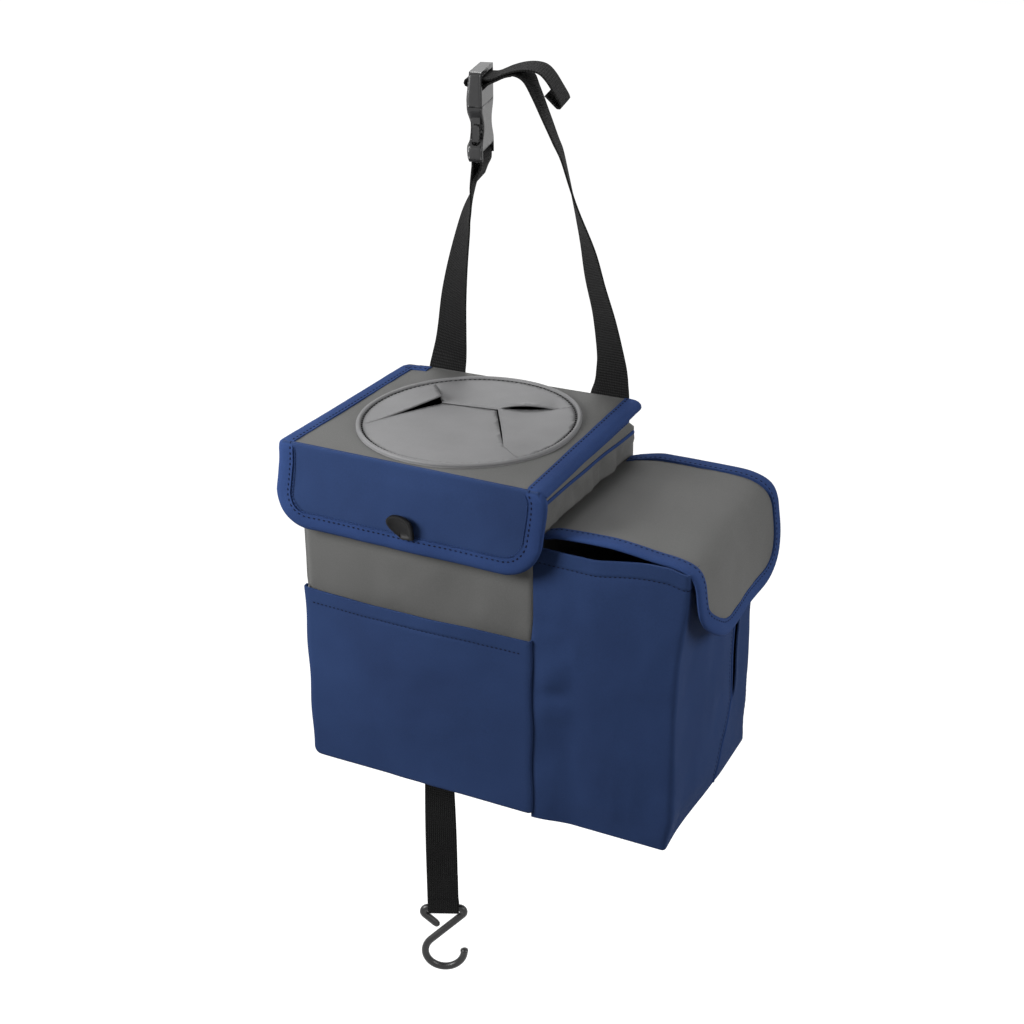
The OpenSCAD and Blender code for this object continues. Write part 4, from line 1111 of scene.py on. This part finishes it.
def tissue_flap():
    pts, normal, width, steps = tissue_flap_grid()
    cloth = Shape().grid(pts + normal).make(
        "tissue_flap_cloth", GREY, "tissue_flap", "grey_fabric", thick=2.0,
        stands_for=["side_flap"], bends=True)
    first = int(np.argmin(np.abs(pts[0, :, 0] - 100.5)))
    places, ups = [np.concatenate([a[0, first:-1], a[:, -1], a[-1, first:-1][::-1]])
                   for a in (pts, normal)]
    edges = unit(np.cross(unit(np.gradient(places, axis=0)), ups))
    wobble = 0.5 * rough(places, 20, 41.0)[:, None]
    base = np.array([(-11.5, 0.6), (-11.2, 1.95), (-9, 1.75), (-7.8, 2.0), (-3, 2.1), (-0.6, 1.8),
                     (0.7, 0.8), (1.0, 0), (0.7, -0.8), (-0.6, -1.7), (-6.8, -1.9), (-11.2, -1.6),
                     (-11.5, -0.6)])
    band = Shape().sweep(places, edges, ups, wavy(base, wobble, -6.9, 0.4)).make(
        "tissue_flap_band", TAPE, "tissue_flap", "binding_tape",
        stands_for=["side_flap_binding"], closed=True, angle=50, bends=True)
    line = places + edges * -9 + ups * 1.8
    seam = stitches("tissue_flap_stitches", line, ups, "tissue_flap", SHADED_THREAD, pitch=4.0,
                    length=2.6, thread=0.55, bends=True)


# Straps and hook

def strap(name, route, width, node, steps=5, spacing=1.8):
    """Webbing along a route of (x, y, z, compass angle of its width)."""
    path = evenly(smooth_route(route, steps), spacing)
    way = unit(np.gradient(path[:, :3], axis=0))
    yaw = np.radians(path[:, 3])
    raw = np.stack([np.cos(yaw), np.sin(yaw), 0 * yaw], 1)
    side = unit(raw - way * (raw * way).sum(1, keepdims=True))
    up = np.cross(way, side)
    half = width / 2
    xs = np.linspace(-half + 0.5, half - 0.5, 27)
    face = STRAP_T / 2 + 0.05 * np.cos(xs * 2 * math.pi / 2.4)
    top = list(zip(xs, face))
    under = list(zip(xs[::-1], -face[::-1]))
    profile = top + [(half, 0.3), (half, -0.3)] + under + [(-half, -0.3), (-half, 0.3)]
    shape = Shape().sweep(path[:, :3], side, up, profile)
    return shape.make(name, WEBBING, "bin", "webbing", stands_for=[node], closed=True, angle=60)


def on_leg(foot_x, over, up, y, yaw):
    """A place on a strap's leg, by its shares of the way from its foot to the buckle."""
    return (foot_x + (BUCKLE[0] - foot_x) * over, y, BIN_H + 175.0 * up, yaw)


def in_buckle(x, z):
    """A place of the webbing in the buckle, by the buckle's own x and z."""
    yaw = math.radians(BUCKLE_YAW)
    x += BUCKLE_SHIFT
    z -= 0.035 * max(z - 8, 0)
    return (BUCKLE[0] + x * math.cos(yaw), x * math.sin(yaw), BUCKLE[2] + z, BUCKLE_YAW - 90)


def round_bar(x, z, r, angles):
    """The webbing's turn round a bar of the buckle."""
    return [in_buckle(x + r * math.cos(a), z + r * math.sin(a)) for a in np.radians(angles)]


def sewn_end(x):
    """The strap's end that is sewn inside the back wall, and its way out over the rim."""
    y = -2.0
    ends = [(x, y, WALL_TOP + d, 0) for d in (-30, -10, 0, 2)]
    return ends + [(x, y + 0.15, WALL_TOP + 5, 0), (x, y + 0.9, WALL_TOP + 9, -1)]


def straps():
    bar_r, turn = 2.2, 2.2 + 0.3 + STRAP_T / 2
    left = -61.0
    route = sewn_end(left) + [on_leg(left, *at) for at in (
        (0.01, 0.07, 1.5, -6), (0.03, 0.12, 3, -12), (0.055, 0.194, 4, -18),
        (0.125, 0.349, 4, -26), (0.264, 0.52, 4, -37), (0.45, 0.691, 4, -49),
        (0.59, 0.775, 3, -58), (0.7, 0.84, 2, -66))]
    route += [in_buckle(-4.4, -13), in_buckle(-turn - 0.2, -4)]
    route += round_bar(0, bar_r, turn, np.arange(180, -1, -30))
    route += [in_buckle(turn - 0.2, -4), in_buckle(0.6, -9), in_buckle(-1.9, -15.5)]
    strap("strap_left_web", route, STRAP_W, "strap_left")
    lock_x, lock_z, turn = -5.65, 59.6, 1.5 + 0.3 + STRAP_T / 2
    right = 78.5
    route = sewn_end(right) + [on_leg(right, *at) for at in (
        (0, 0.07, 1.5, -14), (0.005, 0.12, 3, -19), (0.02, 0.194, 4, -25), (0.075, 0.36, 4, -33),
        (0.15, 0.514, 4, -38), (0.21, 0.663, 4, -45), (0.3, 0.84, 2.5, -58),
        (0.352, 0.945, 2, -63), (0.405, 1.042, 2.5, -66), (0.459, 1.106, 3, -68),
        (0.529, 1.188, 4, -71), (0.615, 1.289, 5, -74), (0.676, 1.342, 6, -75))]
    route += [in_buckle(*at) for at in (
        (28.5, 65.6), (22, 65), (16, 62.3), (10, 59.4), (4, lock_z - turn))]
    route += round_bar(lock_x, lock_z, turn, np.arange(270, 89, -30))
    route += [in_buckle(*at) for at in (
        (2, lock_z + turn), (10, lock_z + turn), (16, 64.5), (22, 67.2), (31, 69.8), (40, 70.3),
        (47, 68.2), (52.5, 62.5), (57.5, 54.5), (62.2, 46.4), (62.4, 44), (60.3, 43.3),
        (56.8, 46.6), (51, 52.6))]
    strap("strap_right_web", route, STRAP_W, "strap_right")


# The hook's turn in degrees, its loop's bottom below the bin, and where the loop hangs
HOOK_YAW = 25.0
HOOK_Z = -142.0
HOOK_BACK = np.array([-math.sin(math.radians(HOOK_YAW)), math.cos(math.radians(HOOK_YAW)), 0])
HOOK_SHIFT = 3 + STRAP_T / 2 + 0.3
LOW_Y = -139.0


def by_hook(back, z):
    """A place of the webbing's loop round the hook."""
    p = np.array([0, LOW_Y, HOOK_Z + z]) + back * HOOK_BACK
    return (p[0], p[1], p[2], HOOK_YAW)


def lower_strap():
    flat = -STRAP_T / 2 - 0.05
    route = [(0, LOW_Y + d, flat - low, 0) for d, low in (
        (38, 0), (12, 0), (8, 0), (4.5, 0.05), (2, 0.6), (0.6, 2))]
    route += [(0, LOW_Y, flat - 6, 1), (0, LOW_Y, 0.21 * HOOK_Z, HOOK_YAW * 0.3),
              (0, LOW_Y, 0.42 * HOOK_Z, HOOK_YAW * 0.7), (0, LOW_Y, 0.63 * HOOK_Z, HOOK_YAW),
              by_hook(0, 26), by_hook(0, 6)]
    route += [by_hook(HOOK_SHIFT * (1 + math.cos(a)), HOOK_SHIFT * math.sin(a))
              for a in np.radians(np.arange(180, 361, 30))]
    route += [by_hook(2 * HOOK_SHIFT - 1, 4), by_hook(STRAP_T + 1, 11),
              by_hook(STRAP_T + 0.2, 17), by_hook(STRAP_T + 0.2, 34)]
    strap("lower_strap_web", route, LOW_STRAP_W, "bottom_strap")
    side = np.array([math.cos(math.radians(HOOK_YAW)), math.sin(math.radians(HOOK_YAW)), 0])
    place = np.array([0, LOW_Y, HOOK_Z + 12.5]) - HOOK_BACK * 0.8
    line = place + side * np.linspace(-11, 11, 12)[:, None]
    stitches("lower_strap_stitches", line, -HOOK_BACK, "bin", DARK_THREAD, slot="webbing",
             pitch=2.6, length=1.9, thread=0.4)


def arc_points(x, z, r, start, end, step):
    """Points of an arc from one angle to another, in steps of about that many degrees."""
    count = int(round(abs(end - start) / step))
    return [(x + r * math.cos(a), z + r * math.sin(a))
            for a in np.radians(np.linspace(start, end, count + 1))]


def hook():
    rod, eye, half_bar, bend, drop = 3.0, 3.8, 12.7, 16.0, 43.5
    tip = rod - 0.5
    clear = rod + tip + 0.3
    q = math.sqrt(0.5)
    cross_z = -eye - eye * q - half_bar - eye * q
    route = [(-clear * q, cross_z + clear * q)] + arc_points(-half_bar, -eye, eye, 225, 90, 9)
    route += arc_points(half_bar, -eye, eye, 90, -45, 9) + arc_points(0, -drop, bend, 135, 368, 6)
    line = evenly(route, 1.1)
    way = unit(np.gradient(line, axis=0))
    s = along(line)
    ball = 3.7 * bell(s, s[-1], 9)
    radii = np.maximum(np.minimum(rod, tip + (rod - tip) * ramp(s, 0, 5)), ball)
    for near in (s, s[-1] - s):
        short = near < 2.2
        radii[short] *= np.sqrt(np.clip(1 - ((2.2 - near[short]) / 2.35) ** 2, 0.05, 1))
    turns = np.radians(np.arange(0, 360, 18))
    out, w = radii[:, None] * np.cos(turns), radii[:, None] * np.sin(turns)
    u = line[:, :1] - out * way[:, 1:]
    yaw = math.radians(HOOK_YAW)
    centre = np.array([0, LOW_Y, HOOK_Z]) + HOOK_SHIFT * HOOK_BACK
    pts = np.stack([centre[0] + u * math.cos(yaw) - w * math.sin(yaw),
                    centre[1] + u * math.sin(yaw) + w * math.cos(yaw),
                    centre[2] + (line[:, 1:] + out * way[:, :1])], 2)
    Shape().tube(pts).make("hook_rod", HOOK_PLASTIC, "seat_hook", "hook_plastic",
                           stands_for=["hook"], closed=True, angle=80)


# Small fittings

def pull_tab():
    outline = [(6.2, 211.2), (6.5, 216), (6.4, 221.5), (4.6, 226.4), (0.6, 229), (-4.8, 229.6),
               (-9.6, 228.6), (-13, 226), (-14.2, 222.6), (-12.6, 219), (-9.6, 216),
               (-6.6, 213.6), (-4, 211.6), (-2.4, 210.4)]
    outline = smooth_route(outline + outline[:1], 4)[:-1]
    middle = np.array([-5.0, 220.5])
    levels = [(0.3, 0.0), (0.9, 0.0), (1.0, 0.7), (1.0, 2.9), (0.95, 3.7), (0.86, 3.7),
              (0.77, 2.7), (0.5, 1.7), (0.2, 1.4)]
    rows = []
    for share, height in levels:
        flat = middle + (outline - middle) * share
        stand = height + 0.17 * (flat[:, 1] - 210) + 1.4
        rows.append(np.stack([flat[:, 0], FLAP_OUT - 0.6 - stand, flat[:, 1]], 1))
    Shape().tube(np.array(rows)).make("pull_tab_spoon", TAB_PLASTIC, "lid", "hook_plastic",
                                      stands_for=["pull_tab"], closed=True, angle=60)


def patches():
    for node, name, body in (("loop_patch", "loop_pile", "bin"),
                             ("hook_patch", "hook_pile", "lid")):
        low, high = millimetres(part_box(node))
        xs, zs = np.linspace(low[0], high[0], 70), np.linspace(low[2], high[2], 24)
        front = np.array([[[x, low[1], z] for x in xs] for z in zs])
        front[..., 1] += 0.12 * rough(front, 1.6, 2.0)
        corner = np.minimum(np.abs(front[..., 0] - low[0]), np.abs(front[..., 0] - high[0]))
        front[..., 1] += 0.6 * (1 - ramp(corner, 0, 1.5))
        Shape().grid(front).make(name, PILE, body, "grip_patch",
                                 thick=float(high[1] - low[1]) - 0.1, stands_for=[node])


def buckle_skin(name, body):
    """A buckle piece from its CAD form: thinner, waisted and with the moulding's swellings."""
    bm = bmesh.new()
    bm.from_mesh(nodes[name].data)
    bmesh.ops.remove_doubles(bm, verts=bm.verts, dist=2e-6)
    for _ in range(4):
        long = [e for e in bm.edges if e.calc_length() > 0.0024]
        bmesh.ops.subdivide_edges(bm, edges=long, cuts=1)
        bmesh.ops.triangulate(bm, faces=[f for f in bm.faces if len(f.verts) > 3])
    yaw = math.radians(BUCKLE_YAW)
    p = millimetres([v.co[:] for v in bm.verts]) - np.array(BUCKLE)
    u = p[:, 0] * math.cos(yaw) + p[:, 1] * math.sin(yaw)
    v = -p[:, 0] * math.sin(yaw) + p[:, 1] * math.cos(yaw)
    w = p[:, 2]
    swell = np.interp(w, [0, 4, 9, 13, 16, 30, 33, 37, 48, 52, 68],
                      [0.3, -1.2, -1.6, -1.4, 0, 0.1, -0.6, -1.2, -1.4, -1.0, 0.9])
    u = BUCKLE_SHIFT + 0.82 * u + swell * ramp(-u, 1, 6) * (not name.startswith("buckle_prong"))
    if name == "buckle_female":
        v = v - np.sign(v) * 6.0 * bell(w, 26, 16) * ramp(np.abs(v), 9, 16)
    w = w - 0.035 * np.maximum(w - 8, 0)
    places = metres(np.stack([BUCKLE[0] + u * math.cos(yaw) - v * math.sin(yaw),
                              BUCKLE[1] + u * math.sin(yaw) + v * math.cos(yaw),
                              BUCKLE[2] + w], 1))
    for vert, place in zip(bm.verts, places):
        vert.co = place
    bmesh.ops.recalc_face_normals(bm, faces=bm.faces)
    mesh = bpy.data.meshes.new(name + "_skin")
    bm.to_mesh(mesh)
    bm.free()
    dressed(mesh, BUCKLE_PLASTIC, body, "buckle_plastic", [name], bevel=0.9, segments=3, angle=32)


def plastics():
    """The buckle's pieces follow their CAD forms; the hidden boards keep theirs."""
    for name, body in (("buckle_female", "bin"), ("buckle_male", "bin"),
                       ("buckle_prong_front", "prong_front"), ("buckle_prong_rear", "prong_rear")):
        buckle_skin(name, body)
    for name, node in nodes.items():
        if name.endswith("board") and name != "lid_board":
            node.data.materials.clear()
            node.data.materials.append(BOARD)


# Light, floor and camera

def lamp(name, place, aim, size, power):
    """A white disc lamp of a size in metres and a power in watts."""
    data = bpy.data.lights.new(name, "AREA")
    data.shape = "DISK"
    data.size = size
    data.energy = power
    obj = in_scene(name, data)
    obj.location = place
    obj.rotation_mode = "QUATERNION"
    obj.rotation_quaternion = (Vector(aim) - Vector(place)).to_track_quat("-Z", "Y")


def studio_world():
    """A dim white world that shows as white behind the object."""
    world = bpy.data.worlds.new("studio")
    world.use_nodes = True
    bpy.context.scene.world = world
    n = Nodes(world.node_tree)
    n.tree.nodes.clear()
    light, white = [n.add("ShaderNodeBackground", {"Color": (1, 1, 1, 1), "Strength": strength})
                    for strength in (0.2, 1.0)]
    mix = n.add("ShaderNodeMixShader", {0: n.seen_directly(), 1: light.outputs[0],
                                        2: white.outputs[0]})
    n.add("ShaderNodeOutputWorld", {0: mix.outputs[0]})


def pale_floor():
    """A floor that shows nearly white and keeps the object's shadow."""
    n = Skin("pale_floor")
    n.feed(n.shader, {"Base Color": (0.25, 0.25, 0.25, 1), "Roughness": 0.9})
    glow = n.add("ShaderNodeEmission", {"Color": (1, 1, 1, 1), "Strength": n.math(
        "MULTIPLY", n.seen_directly(), 0.95)})
    both = n.add("ShaderNodeAddShader", {0: n.shader.outputs[0], 1: glow.outputs[0]})
    n.feed(n.tree.nodes["Material Output"], {"Surface": both.outputs[0]})
    size, low = 6.0, -0.62
    mesh = bpy.data.meshes.new("floor")
    mesh.from_pydata([(-size, -size, low), (size, -size, low), (size, size, low),
                      (-size, size, low)], [], [(0, 1, 2, 3)])
    mesh.materials.append(n.mat)
    in_scene("floor", mesh)


def camera():
    """The photo's view, as solved from its straight edges."""
    data = bpy.data.cameras.new("photo_view")
    data.sensor_width = 36
    data.lens = 64.24
    data.clip_start, data.clip_end = 0.05, 40
    turn, tilt, roll = math.radians(27.12), math.radians(25.57), math.radians(-0.45)
    level = Vector((math.cos(turn), math.sin(turn), 0))
    back = Vector((math.sin(turn) * math.cos(tilt), -math.cos(turn) * math.cos(tilt),
                   math.sin(tilt)))
    head = back.cross(level)
    right = level * math.cos(roll) + head * math.sin(roll)
    up = head * math.cos(roll) - level * math.sin(roll)
    place = Vector((0.04025, -0.09, 0.07019)) + back * 1.35259
    axes = Matrix((right, up, back)).transposed().to_4x4()
    obj = in_scene("photo_view", data)
    obj.matrix_world = Matrix.Translation(place) @ axes
    bpy.context.scene.camera = obj


camera()
studio_world()
pale_floor()
lamp("key", (-0.5, -0.66, 0.44), (-0.02, -0.15, 0.03), 0.42, 11.5)
lamp("side", (1.15, -0.15, 0.55), (0.2, -0.1, 0.0), 0.6, 9)
lamp("top", (-0.35, 0.75, 1.35), (0.0, -0.1, 0.13), 0.7, 13)
bpy.context.scene.view_settings.view_transform = "Standard"

bin_body()
rim_band()
front_pocket()
pocket_cloth()
lid_cloth()
flap_cloth()
lid_band()
membrane()
tissue_flap()
straps()
lower_strap()
hook()
pull_tab()
patches()
plastics()
